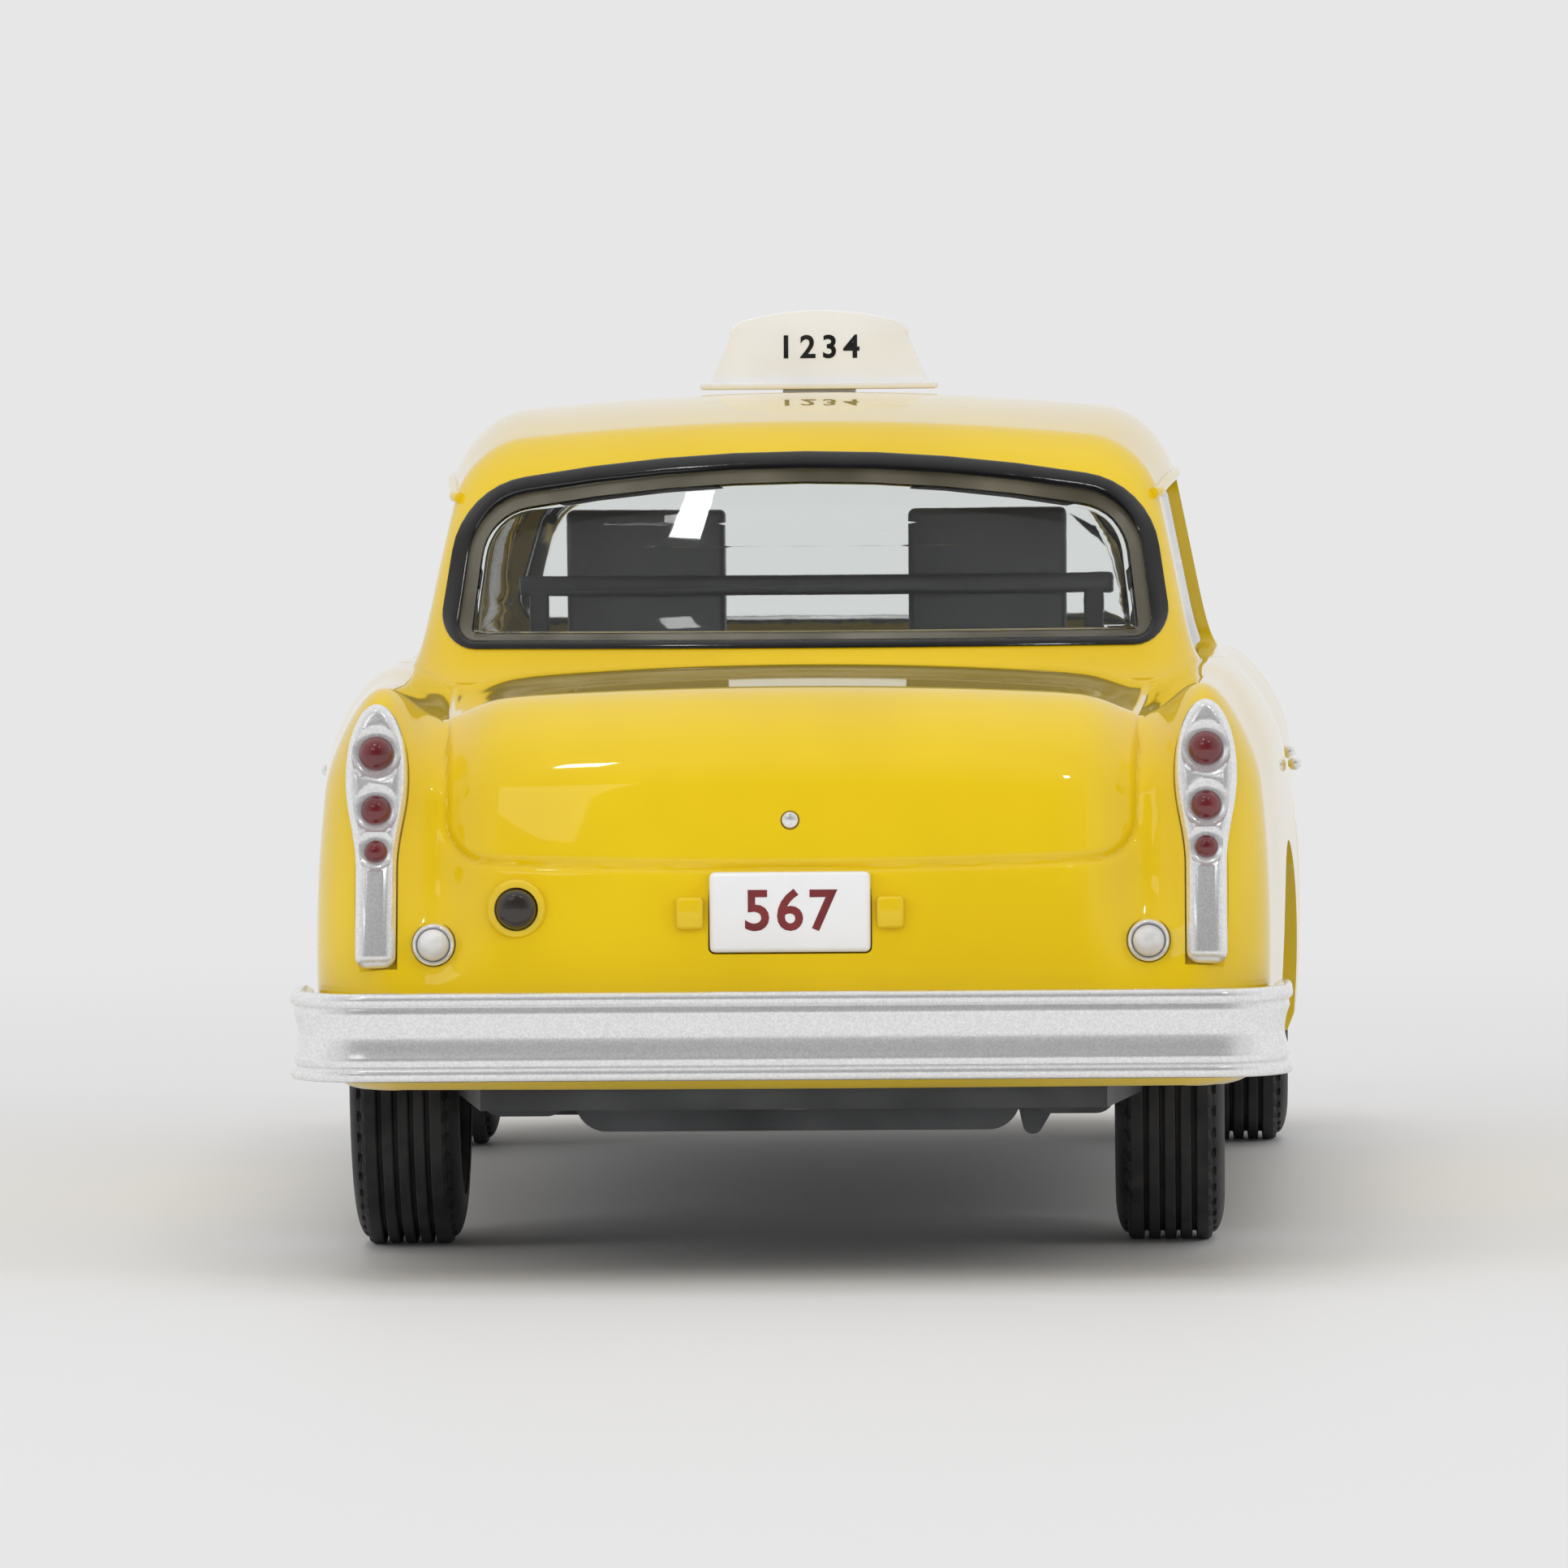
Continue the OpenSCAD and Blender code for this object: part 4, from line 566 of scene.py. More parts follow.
def add_unevenness(tree, shader, grain, wave, depth):
    skin = tree.nodes.new("ShaderNodeGroup")
    skin.node_tree = uneven_skin
    skin.inputs["Grain"].default_value = grain
    skin.inputs["Wave"].default_value = wave
    skin.inputs["Depth"].default_value = depth
    tree.links.new(skin.outputs["Normal"], shader.inputs["Normal"])
    return skin.outputs["Mask"]


def add_tint(tree, mask, low, high, shader, spread=(0.35, 0.65)):
    """Runs the base colour between two tints by a mask."""
    ramp = tree.nodes.new("ShaderNodeValToRGB")
    ramp.color_ramp.elements[0].position, ramp.color_ramp.elements[1].position = spread
    ramp.color_ramp.elements[0].color, ramp.color_ramp.elements[1].color = (*low, 1), (*high, 1)
    tree.links.new(mask, ramp.inputs["Fac"])
    tree.links.new(ramp.outputs["Color"], shader.inputs["Base Color"])


def uneven_finish(name, skin, low, high, values):
    """A material between two tints on an uneven skin, given as (grain, wave, depth)."""
    made, tree, shader = finish_of(name, values)
    add_tint(tree, add_unevenness(tree, shader, *skin), low, high, shader)
    return made


def yellow_paint():
    return uneven_finish("glossy yellow paint", (1400, 160, 0.05),
                         (0.80, 0.545, 0.004), (0.86, 0.60, 0.007),
                         {"Roughness": 0.3, "Specular IOR Level": 0.1, "Coat Weight": 1.0, "Coat Roughness": 0.03})


paint = yellow_paint()


def put_on(obj, nodes, material, angle=35, body_name="car_body"):
    """Turns a piece made in millimetres to metres, smooths it and fixes it to its body."""
    obj.data.transform(Matrix.Scale(MM, 4))
    pick(obj)
    bpy.ops.object.shade_smooth_by_angle(angle=math.radians(angle))
    obj.data.materials.clear()
    obj.data.materials.append(material)
    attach(obj, body_name)
    if nodes:
        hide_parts(*nodes)


# posts that the base is screwed to, seen only from below
for y in (-33.4, 33.4):
    post = turned("post", [(0, 0), (1.8, 0), (1.8, 2.1), (0, 2.1)], (0, y, 5.95), "Z", 48)
    combine(body, post, "UNION")
put_on(body, ["body_shell"], paint, 32)

# ---- Drip rails ----
# A thin raised gutter that the casting carries along each side of the roof, over the door glass.


def tube(name, points, radius, sides=12):
    """A closed round tube along points in millimetres."""
    line = bpy.data.curves.new(name, "CURVE")
    line.dimensions, line.use_fill_caps = "3D", True
    line.bevel_depth, line.bevel_resolution = radius, sides // 4
    spline = line.splines.new("POLY")
    spline.points.add(len(points) - 1)
    for place, p in zip(spline.points, points):
        place.co = (*p, 1)
    obj = bpy.data.objects.new(name, line)
    bpy.context.scene.collection.objects.link(obj)
    pick(obj)
    bpy.ops.object.convert(target="MESH")
    return bpy.context.active_object


for side, word in ((1, "left"), (-1, "right")):
    ys_rail = np.linspace(screen_y + 1.2, backlight_y - 1.0, 60)
    on_side = np.stack([np.full(60, side * cabin_half_w), ys_rail, np.full(60, 23.35)], axis=1)
    path = cabin_skin(on_side) + [side * 0.05, 0, 0]
    put_on(tube(f"drip_rail_{word}", path, 0.17), [], paint, 60)

# ---- Bonnet ----
# A separate die-cast panel in the same yellow, on two goose-neck arms that reach under the scuttle.

arm_x, arm_t, pin_r, run_gap, arm_reach = 6.0, 0.8, 0.35, 0.05, 4.25
hinge = Vector((0, bonnet_rear_y + 4, cowl_z - 2.2))
panel = top_patch("bonnet_panel", bonnet_half, nose_y + 0.1, bonnet_rear_y, 0.8, 0)
for side in (-1, 1):
    x0 = side * arm_x + arm_t / 2
    bend = [(arm_reach + w, math.radians(a)) for w, a in
            [(0, 214 + k * 5) for k in range(16)] + [(0.7, 289 - k * 5) for k in range(16)]]
    to_yz = Matrix.Translation((x0, hinge.y, hinge.z)) @ Matrix.Rotation(math.radians(-90), 4, "Y")
    arm = plate_of("arm", [(r * math.cos(a), r * math.sin(a)) for r, a in bend], 0, arm_t, to_yz)
    leg_turn = Matrix.Rotation(math.radians(218), 4, "Z")
    leg = plate_of("leg", [(0, -0.35), (arm_reach + 0.4, -0.35), (arm_reach + 0.4, 0.35), (0, 0.35)],
                   0, arm_t, to_yz @ leg_turn)
    knuckle = plate_of("knuckle", circle_outline(0, 0, pin_r + 0.4, 40), 0, arm_t, to_yz)
    combine(arm, leg, "UNION")
    combine(arm, knuckle, "UNION")
    combine(arm, plate_of("eye", circle_outline(0, 0, pin_r + run_gap, 32), -1, arm_t + 1, to_yz))
    combine(panel, arm, "UNION")
put_on(panel, ["bonnet"], paint, 32, "bonnet_panel")

# ---- Window trim and clear inserts ----
# Each opening is lined with a glossy black band, printed and a little proud. One clear moulding stands
# behind it, with a bevelled pad that fills the opening. Its edge is an opaque grey-brown lip whose colour is
# painted shade and painted reflection: the casting edge and the dark behind it, as seen through the clear bevel.


def on_face(points, axis, end, inset):
    """Places (along, up) on a side (axis 0) or an end (axis 1) of the cabin, inset from its skin."""
    low, high, other = (-cabin_half_w, screen_y), (cabin_half_w, backlight_y), 1 - axis
    aim = np.array(points, float)
    p = np.empty((len(aim), 3))
    p[:, axis], p[:, other], p[:, 2] = (high if end > 0 else low)[axis], aim[:, 0], aim[:, 1]
    # the cabin leans and bows, so the place on its box is found in small steps
    for _ in range(14):
        s = cabin_skin(p)
        p[:, other] = np.clip(p[:, other] + aim[:, 0] - s[:, other], low[other], high[other])
        p[:, 2] = np.clip(p[:, 2] + aim[:, 1] - s[:, 2], cabin_foot_z, roof_z)
    skin = cabin_skin(p)
    skin[:, axis] -= end * inset
    skin[:, other], skin[:, 2] = aim[:, 0], aim[:, 1]
    return skin


def ring_faces(count, n, closed):
    faces = []
    for k in range(count if closed else count - 1):
        a, b = k * n, ((k + 1) % count) * n
        faces += [(a + i, a + (i + 1) % n, b + (i + 1) % n, b + i) for i in range(n)]
    return faces


def run_of(name, rings):
    """A closed mesh over rings of points, capped at both ends."""
    n = len(rings[0])
    last = (len(rings) - 1) * n
    ends = [tuple(range(n - 1, -1, -1)), tuple(range(last, last + n))]
    return solid(name, np.concatenate(rings), ring_faces(len(rings), n, False) + ends)


def band_round(name, outline, profile, place):
    """A closed band: profile is (growth of the outline, inset) pairs round its section."""
    rings = [place(outline(grow), inset) for grow, inset in profile]
    n = len(rings[0])
    return solid(name, np.concatenate(rings), ring_faces(len(rings), n, True))


def pane_of(name, outline, edge, place, rings=14):
    """A closed pane: edge is (growth, inset) pairs from its back face round its rim to its front face."""
    def shrunk(grow, share):
        p = np.array(outline(grow))
        mid = p.mean(0)
        core_half = 0.55 * (p[:, 0].max() - p[:, 0].min()) / 2
        core = np.stack([np.clip(p[:, 0], mid[0] - core_half, mid[0] + core_half), np.full(len(p), mid[1])],
                        axis=1)
        return core + (p - core) * share
    shares = 0.97 * np.linspace(0.04, 1, rings) ** 2
    layers = [(edge[0][0], edge[0][1], s) for s in shares]
    layers += [(g, d, 1.0) for g, d in edge]
    layers += [(edge[-1][0], edge[-1][1], s) for s in shares[::-1]]
    return run_of(name, [place(shrunk(g, s), d) for g, d, s in layers])


def black_trim():
    return uneven_finish("glossy black print", (3500, 500, 0.25),
                         (0.003, 0.003, 0.0035), (0.007, 0.007, 0.008),
                         {"Roughness": 0.12, "Coat Weight": 0.2, "Coat Roughness": 0.04})


def clear_moulding():
    made, tree, shader = finish_of("clear moulding", {
        "Base Color": (0.93, 0.95, 0.94, 1), "Roughness": 0.02, "IOR": 1.46, "Transmission Weight": 1.0})
    add_unevenness(tree, shader, 900, 140, 0.03)
    return made


# the lip's grey-brown is painted shade and painted reflection, standing in for the casting edge and the dark behind
# it seen through the clear bevel
def painted_shade_lip_finish():
    return uneven_finish("lip with painted shade and reflection", (1800, 300, 0.2),
                         (0.075, 0.066, 0.046), (0.17, 0.155, 0.12),
                         {"Roughness": 0.22})


trim_black, clear, lip_shade_paint = black_trim(), clear_moulding(), painted_shade_lip_finish()
band_profile = [(0.44, 0.02), (0.44, -0.03), (0.40, -0.07), (0.22, -0.095), (0.04, -0.07), (-0.05, 0.0),
                (-0.08, 0.12), (-0.08, 0.62), (-0.03, 0.62), (-0.03, 0.02)]
pane_edge = [(0.4, 1.64), (0.4, 1.06), (-0.12, 1.06), (-0.16, 0.72), (-0.50, 0.42), (-0.60, 0.39)]
lip_profile = [(-0.09, 0.22), (-0.48, 0.37), (-0.48, 0.405), (-0.17, 0.69), (-0.09, 0.70)]
for word, outline_of, end in (("rear_window", rear_window_outline, 1), ("windscreen", windscreen_outline, -1)):
    def on_this_end(points, inset, end=end):
        return on_face(points, 1, end, inset)
    put_on(band_round(f"{word}_trim", outline_of, band_profile, on_this_end),
           [f"{word}_seal"], trim_black, 40)
    # opaque lip whose colour is painted shade and reflection seen through the clear bevel
    put_on(band_round(f"{word}_lip", outline_of, lip_profile, on_this_end), [], lip_shade_paint, 40)
    put_on(pane_of(f"{word}_insert", outline_of, pane_edge, on_this_end), [word], clear, 30)
side_edge = [(0.25, 1.5), (0.25, 1.08), (-0.06, 1.06), (-0.10, 0.55), (-0.32, 0.34), (-0.40, 0.32)]
for side, word in ((1, "left"), (-1, "right")):
    for k, place_word in ((0, "front"), (1, "rear")):
        insert = pane_of(f"door_glass_{place_word}_{word}", lambda g, k=k: side_window_outlines(g)[k],
                         side_edge, lambda p, d, side=side: on_face(p, 0, side, d))
        put_on(insert, [f"side_window_{word}"], clear, 30)

# ---- Bumpers ----
# A cast channel bar with a bead along each edge, sprayed in silver paint whose flakes show, wrapped
# round the corners of the body.


def flake_group():
    """Metal flakes in a clear binder: small cells that each lean and shine a little differently."""
    group, given, out = new_group("silver flakes", [
        ("Size", "NodeSocketFloat", 9000.0), ("Lean", "NodeSocketFloat", 0.3)],
        [("Mask", "NodeSocketFloat"), ("Normal", "NodeSocketVector")])
    link = group.links.new
    where, cells = group.nodes.new("ShaderNodeTexCoord"), group.nodes.new("ShaderNodeTexVoronoi")
    broad, split = group.nodes.new("ShaderNodeTexNoise"), group.nodes.new("ShaderNodeSeparateColor")
    bump, add = group.nodes.new("ShaderNodeBump"), group.nodes.new("ShaderNodeMath")
    broad.inputs["Scale"].default_value = 1500
    add.operation = "MULTIPLY_ADD"
    add.inputs[1].default_value = 0.6
    bump.inputs["Distance"].default_value = 0.00003
    link(where.outputs["Object"], cells.inputs["Vector"])
    link(where.outputs["Object"], broad.inputs["Vector"])
    link(given.outputs["Size"], cells.inputs["Scale"])
    link(cells.outputs["Color"], split.inputs["Color"])
    link(split.outputs["Red"], add.inputs[0])
    link(broad.outputs["Fac"], add.inputs[2])
    link(add.outputs[0], bump.inputs["Height"])
    link(given.outputs["Lean"], bump.inputs["Strength"])
    link(split.outputs["Green"], out.inputs["Mask"])
    link(bump.outputs["Normal"], out.inputs["Normal"])
    return group


silver_flakes = flake_group()


def silver_paint():
    made, tree, shader = finish_of("silver flake paint", {
        "Metallic": 0.62, "Roughness": 0.2, "Coat Weight": 0.5, "Coat Roughness": 0.08})
    flakes = tree.nodes.new("ShaderNodeGroup")
    flakes.node_tree = silver_flakes
    flakes.inputs["Size"].default_value = 20000
    flakes.inputs["Lean"].default_value = 0.10
    tree.links.new(flakes.outputs["Normal"], shader.inputs["Normal"])
    add_tint(tree, flakes.outputs["Mask"], (0.80, 0.80, 0.81), (0.95, 0.95, 0.95), shader, (0.1, 0.95))
    return made


silver = silver_paint()
bumper_t, bumper_corner, bumper_waist, bead = 0.55, 2.4, 0.25, 0.22


def bumper_section():
    """(outwards, up) round the channel section, its face at 0."""
    points = [(-bumper_t, 0.15), (-bead - 0.1, 0)]
    points += [(-bead + bead * math.cos(a), bead + bead * math.sin(a))
               for a in np.radians(np.linspace(-60, 78, 10))]
    span = bumper_h - 4 * bead
    points += [(-bumper_waist * math.sin(math.pi * u) ** 0.8, 2 * bead + u * span)
               for u in np.linspace(0.1, 0.9, 13)]
    points += [(-bead + bead * math.cos(a), bumper_h - bead + bead * math.sin(a))
               for a in np.radians(np.linspace(-78, 60, 10))]
    return points + [(-bead - 0.1, bumper_h), (-bumper_t, bumper_h - 0.15)]


def bumper(name, width, wing, end):
    """The section run along the bar, round both corners and along both wings."""
    flat, face_y = width / 2 - bumper_corner, car_len / 2
    stations = [(width / 2, face_y - bumper_corner - wing, 0.0)]
    stations += [(flat + bumper_corner * math.cos(a), face_y - bumper_corner + bumper_corner * math.sin(a), a)
                 for a in np.linspace(0, math.pi / 2, 25)]
    stations += [(-x, y, math.pi - a) for x, y, a in stations[::-1]]
    rings = []
    tip, last = [(0.0, 0), (0.5, 0.02), (0.85, 0.12), (1.0, 0.3)], len(stations) - 1
    for k, (x, y, a) in enumerate(stations):
        # the free ends close in to a rounded tip
        for squeeze, shift in tip if k == 0 else tip[::-1] if k == last else [(1.0, 0)]:
            ring = []
            for out, up in bumper_section():
                depth = -bumper_t / 2 + (out + bumper_t / 2) * squeeze
                height = bumper_h / 2 + (up - bumper_h / 2) * (0.86 + 0.14 * squeeze)
                ring.append((x + depth * math.cos(a), (y + shift + depth * math.sin(a)) * end, bumper_z + height))
            rings.append(ring)
    bar = run_of(name, rings)
    for side in (-1, 1):
        x = side * 5.4
        y0, y1 = sorted([end * (tail_y - 0.08), end * (face_y - bumper_t + 0.05)])
        combine(bar, softened_block("bracket", (x - 0.8, y0, bumper_z + 0.6), (x + 0.8, y1, bumper_z + 2.0),
                                    0.1), "UNION")
    return bar


put_on(bumper("rear_bumper_bar", 29.3, 3.2, 1), ["rear_bumper"], silver, 50)
put_on(bumper("front_bumper_bar", body_w, 0.6, -1), ["front_bumper"], silver, 50)

# ---- Tail lamps ----
# A teardrop surround in silver paint on each fin, with three glossy dark red domes that get smaller
# downwards, each in a shallow round socket.

tail_lamps = [(2.45, 0.52), (0.75, 0.45), (-0.5, 0.34)]


def lamp_red():
    return uneven_finish("glossy dark red", (5000, 900, 0.08), (0.105, 0.006, 0.010), (0.16, 0.010, 0.014),
                         {"Roughness": 0.2, "Coat Weight": 1.0, "Coat Roughness": 0.03})


red = lamp_red()


def dome_profile(radius, foot, height, steps=12):
    """A round stub with a domed end, as (radius, along) pairs from the axis to the axis."""
    cap = [(radius * math.cos(a), height * math.sin(a)) for a in np.linspace(0, math.pi / 2, steps)]
    return [(0, -foot), (radius, -foot)] + cap[:-1] + [(0, height)]


for side, word in ((1, "left"), (-1, "right")):
    seat = on_tail_seat(side)
    surround = plate_of(f"tail_lamp_surround_{word}", tail_lamp_outline(0.0), -0.72, 0, seat)
    soften_edges(surround, 0.42, 7, 60)
    lenses = None
    for up, r in tail_lamps:
        bowl = turned("bowl", [(0, 0.5), (r + 0.30, 0.5), (r + 0.30, 0.0), (r + 0.2, -0.07), (r + 0.05, -0.12),
                               (0, -0.12)], (0, 0, 0), "Z", 48)
        lens = turned("lens", dome_profile(r, 0.12, r * 0.86), (0, 0, 0), "Z", 48)
        for made, depth in ((bowl, -0.72), (lens, -0.6)):
            made.data.transform(seat @ Matrix.Translation((0, up, depth)) @ Matrix.Rotation(math.pi, 4, "X"))
        combine(surround, bowl)
        if lenses is None:
            lenses = lens
            lenses.name = f"tail_lamp_domes_{word}"
        else:
            combine(lenses, lens, "UNION")
    put_on(surround, [f"tail_lamp_bezel_{word}"], silver, 40)
    put_on(lenses, ["tail_lamp_lenses"], red, 60)

# ---- Reversing lamps, fuel cap and boot lock ----
# Pearl white domes in thin silver rims, a dark brown domed cap on the filler boss, and a lock that is
# no more than a dot of silver paint on a small stud.


def pearl_white():
    return uneven_finish("pearl white lens", (6000, 1500, 0.2), (0.62, 0.61, 0.60), (0.80, 0.79, 0.78),
                         {"Roughness": 0.25, "Coat Weight": 0.8})


def dark_brown():
    return uneven_finish("dark brown gloss", (5000, 900, 0.15),
                         (0.012, 0.008, 0.006), (0.026, 0.018, 0.014),
                         {"Roughness": 0.28, "Coat Weight": 0.7, "Coat Roughness": 0.12})


pearl, brown = pearl_white(), dark_brown()
for side, word in ((1, "left"), (-1, "right")):
    at = (side * reversing_x, reversing_seat_y, reversing_z)
    rim_out, rim_in = reversing_r + 0.13, reversing_r
    rim = turned(f"reversing_rim_{word}", [(rim_in, 0), (rim_out, 0), (rim_out, 0.72), (rim_out - 0.04, 0.79),
                                           (rim_in + 0.04, 0.8), (rim_in, 0.74)], at, "Y", 64)
    put_on(rim, ["reversing_lamp_rims"], silver, 50)
    put_on(turned(f"reversing_dome_{word}", dome_profile(reversing_r - 0.01, 0.7, 0.42),
                  (at[0], at[1] + 0.72, at[2]), "Y", 64), ["reversing_lamp_lenses"], pearl, 60)
put_on(turned("filler_cap", [(0, 0), (fuel_r, 0), (fuel_r, 0.52), (fuel_r - 0.03, 0.6), (fuel_r * 0.86, 0.72),
                             (fuel_r * 0.6, 0.81), (fuel_r * 0.3, 0.845), (0, 0.85)],
              (fuel_x, fuel_seat_y, fuel_z), "Y", 64), ["fuel_cap"], brown, 50)
put_on(turned("lock_stud", [(0, 0), (lock_r, 0), (lock_r, 0.28), (lock_r * 0.8, 0.34), (0, 0.35)],
              (0, lock_y, lock_z), "Y", 40), ["boot_lock"], silver, 50)

# ---- Number plate ----
# A small white moulded plate in a shallow recess between the two lamp bosses, printed with plain
# numbers in dark red.


def white_gloss():
    return uneven_finish("white gloss moulding", (1800, 300, 0.04),
                         (0.86, 0.86, 0.865), (0.91, 0.91, 0.915),
                         {"Roughness": 0.22, "Coat Weight": 0.5, "Coat Roughness": 0.05})


def print_ink(name, low, high):
    return uneven_finish(name, (4000, 1200, 0.2), low, high,
                         {"Roughness": 0.35})


def printed(name, words, height, spacing, move, thickness):
    """Plain figures as a thin raised print, centred, facing +Z before they are moved."""
    pick_none()
    bpy.ops.object.text_add()
    text = bpy.context.active_object
    text.name = name
    style = text.data
    style.body, style.size, style.space_character = words, height / 0.7, spacing
    style.align_x, style.align_y = "CENTER", "CENTER"
    style.extrude, style.offset, style.resolution_u = thickness / 2, height * 0.03, 4
    bpy.ops.object.convert(target="MESH")
    made = bpy.context.active_object
    made.data.transform(move)
    return made


white = white_gloss()
plate = softened_block("number_plate_panel", (-plate_w / 2, plate_seat_y, plate_z - plate_h / 2),
                       (plate_w / 2, plate_seat_y + 0.6, plate_z + plate_h / 2), 0.16, 4)
put_on(plate, ["number_plate"], white, 40)
facing_back = Matrix.Rotation(math.pi, 4, "Z") @ Matrix.Rotation(math.radians(90), 4, "X")
plate_print = printed("plate_figures", "567", 1.15, 1.15,
                      Matrix.Translation((0, plate_seat_y + 0.6, plate_z)) @ facing_back, 0.02)
put_on(plate_print, [], print_ink("dark red ink", (0.16, 0.012, 0.014), (0.22, 0.02, 0.02)), 30)

# ---- Roof sign ----
# A white moulded lamp box on a lip and a small foot, plugged into the roof. It narrows upwards with an
# arched top, and carries plain black figures.

sign_w, sign_top_w, sign_h, sign_d = 7.5, 5.6, 2.5, 2.8
sign_foot_z = roof_z + 0.05


def sign_outline():
    """Right half of the box from its foot to the middle of its arched top, then the left half."""
    right = [(sign_w / 2 - 0.3, 0.15), (sign_w / 2 - 0.32, 0.3)]
    right += [(sign_w / 2 - 0.34 - 0.62 * t, 0.3 + 1.45 * t) for t in (0.25, 0.5, 0.75, 1.0)]
    cx, cz, r = sign_top_w / 2 - 0.56, sign_h - 0.98, 0.68
    right += [(cx + r * math.cos(a), cz + r * math.sin(a)) for a in np.radians(np.linspace(22, 74, 8))]
    x_end, z_end = right[-1]
    right += [(x_end * (1 - t), z_end + (sign_h - z_end) * (1 - (1 - t) ** 2))
              for t in np.linspace(0.1, 1, 10)]
    return right + [(-x, z) for x, z in right[-2::-1]]


def sign_depth(z):
    return 1.15 - (z - 0.15) * 0.2


outline = sign_outline()
sign = between("roof_sign_box", *[[(x, sign_y + side * sign_depth(z), sign_foot_z + z) for x, z in outline]
                                  for side in (1, -1)])
soften_edges(sign, 0.16, 4, 40)
combine(sign, softened_block("lip", (-sign_w / 2, sign_y - sign_d / 2, sign_foot_z),
                             (sign_w / 2, sign_y + sign_d / 2, sign_foot_z + 0.22), 0.07, 2), "UNION")
combine(sign, softened_block("foot", (-1.15, sign_y - 0.8, roof_z - 0.33),
                             (1.15, sign_y + 0.8, sign_foot_z + 0.1), 0.03, 1), "UNION")
put_on(sign, ["roof_sign"], white, 35)
sign_ink = print_ink("black ink", (0.006, 0.006, 0.007), (0.02, 0.02, 0.02))
lean_back, print_z = math.atan(0.2), 1.3
for side, word in ((1, "rear"), (-1, "front")):
    face = Matrix.Translation((0, sign_y + side * sign_depth(print_z), sign_foot_z + print_z))
    turn = facing_back if side > 0 else Matrix.Rotation(math.radians(90), 4, "X")
    tilt = Matrix.Rotation(side * lean_back, 4, "X")
    figures = printed(f"sign_figures_{word}", "1234", 0.72, 1.35, face @ tilt @ turn, 0.03)
    put_on(figures, [], sign_ink, 30)

# ---- Wheels, tyres and axles ----
# Soft black tyres with four grooves and a row of notches on each shoulder, stretched over bright
# plated wheels with a domed cap, pressed on steel axles.

tyre_w, tread_w = 3.3, 2.4
front_track, rear_track, rear_shift = 26.4, 23.0, 0.5
rim_r, rim_w, groove_w, groove_depth = 3.6, 2.5, 0.16, 0.25


def rubber():
    return uneven_finish("black tyre rubber", (3000, 700, 0.5),
                         (0.012, 0.012, 0.013), (0.032, 0.031, 0.031),
                         {"Roughness": 0.62, "Specular IOR Level": 0.35})


def plated():
    return uneven_finish("bright plating", (2500, 400, 0.08), (0.70, 0.71, 0.73), (0.80, 0.81, 0.83),
                         {"Metallic": 1.0, "Roughness": 0.16})


def steel():
    return uneven_finish("bare steel", (6000, 900, 0.2), (0.45, 0.45, 0.47), (0.58, 0.58, 0.60),
                         {"Metallic": 1.0, "Roughness": 0.34})


tyre_rubber, plate_finish, steel_finish = rubber(), plated(), steel()


def tyre_mesh(name):
    """Half sections mirrored, with notches in the shoulders, turned round Z."""
    t, half, pitch, section = tread_w / 2, tyre_w / 2, tread_w / 5, []
    for i in (-1.5, -0.5, 0.5, 1.5):
        m, g = i * pitch, groove_w / 2
        section += [(tyre_r, m - g - 0.04), (tyre_r - 0.03, m - g), (tyre_r - groove_depth, m - g + 0.03),
                    (tyre_r - groove_depth, m + g - 0.03), (tyre_r - 0.03, m + g), (tyre_r, m + g + 0.04)]
    wall_out = [(tyre_r - 1.35 + 1.15 * math.cos(a), t + 0.08 + (half - t - 0.08) * math.sin(a))
                for a in np.linspace(0, math.pi / 2, 11)]
    side = [(tyre_r, t - 0.05), (tyre_r - 0.05, t + 0.04)] + wall_out
    side += [(tyre_r - 1.45, half - 0.02), (tyre_r - 1.5, half - 0.09), (tyre_r - 1.6, half - 0.09),
             (rim_r + 0.1, rim_w / 2 + 0.16), (rim_r, rim_w / 2)]
    loop = [(r, -z) for r, z in side[::-1]] + section + side
    notch = {k for k, (r, z) in enumerate(loop) if t - 0.02 < abs(z) < t + 0.16 and r > tyre_r - 0.4}
    steps, notch_depth, points = 192, 0.14, []
    for s in range(steps):
        a = 2 * math.pi * s / steps
        for k, (r, z) in enumerate(loop):
            r -= notch_depth if k in notch and s % 4 == 0 else 0
            points.append((r * math.cos(a), r * math.sin(a), z))
    return solid(name, points, ring_faces(steps, len(loop), True))


def wheel_mesh(name):
    """A dished wheel with a rolled rim and a domed cap, turned round Z, with the axle's bore."""
    face = rim_w / 2
    profile = [(0.5, -face), (1.1, -face), (1.1, -face + 1.55), (rim_r - 0.5, -face + 1.55), (rim_r - 0.5, -face),
               (rim_r, -face), (rim_r, face), (rim_r - 0.05, face + 0.02), (rim_r - 0.22, face),
               (rim_r - 0.34, face - 0.1), (rim_r - 0.4, face - 0.45), (rim_r - 0.72, face - 0.78),
               (2.2, face - 0.78), (2.02, face - 0.66), (1.92, face - 0.5)]
    profile += [(1.9 * math.cos(a), face - 0.5 + 0.5 * math.sin(a))
                for a in np.linspace(0.05, math.pi / 2 - 0.03, 14)]
    profile += [(0.0, face), (0.0, face - 0.8), (0.5, face - 0.8)]
    return turned(name, profile, (0, 0, 0), "Z", 128)



def dress(name, material):
    """Gives a CAD node that keeps its shape a better material."""
    cad_node[name].data.materials.clear()
    cad_node[name].data.materials.append(material)


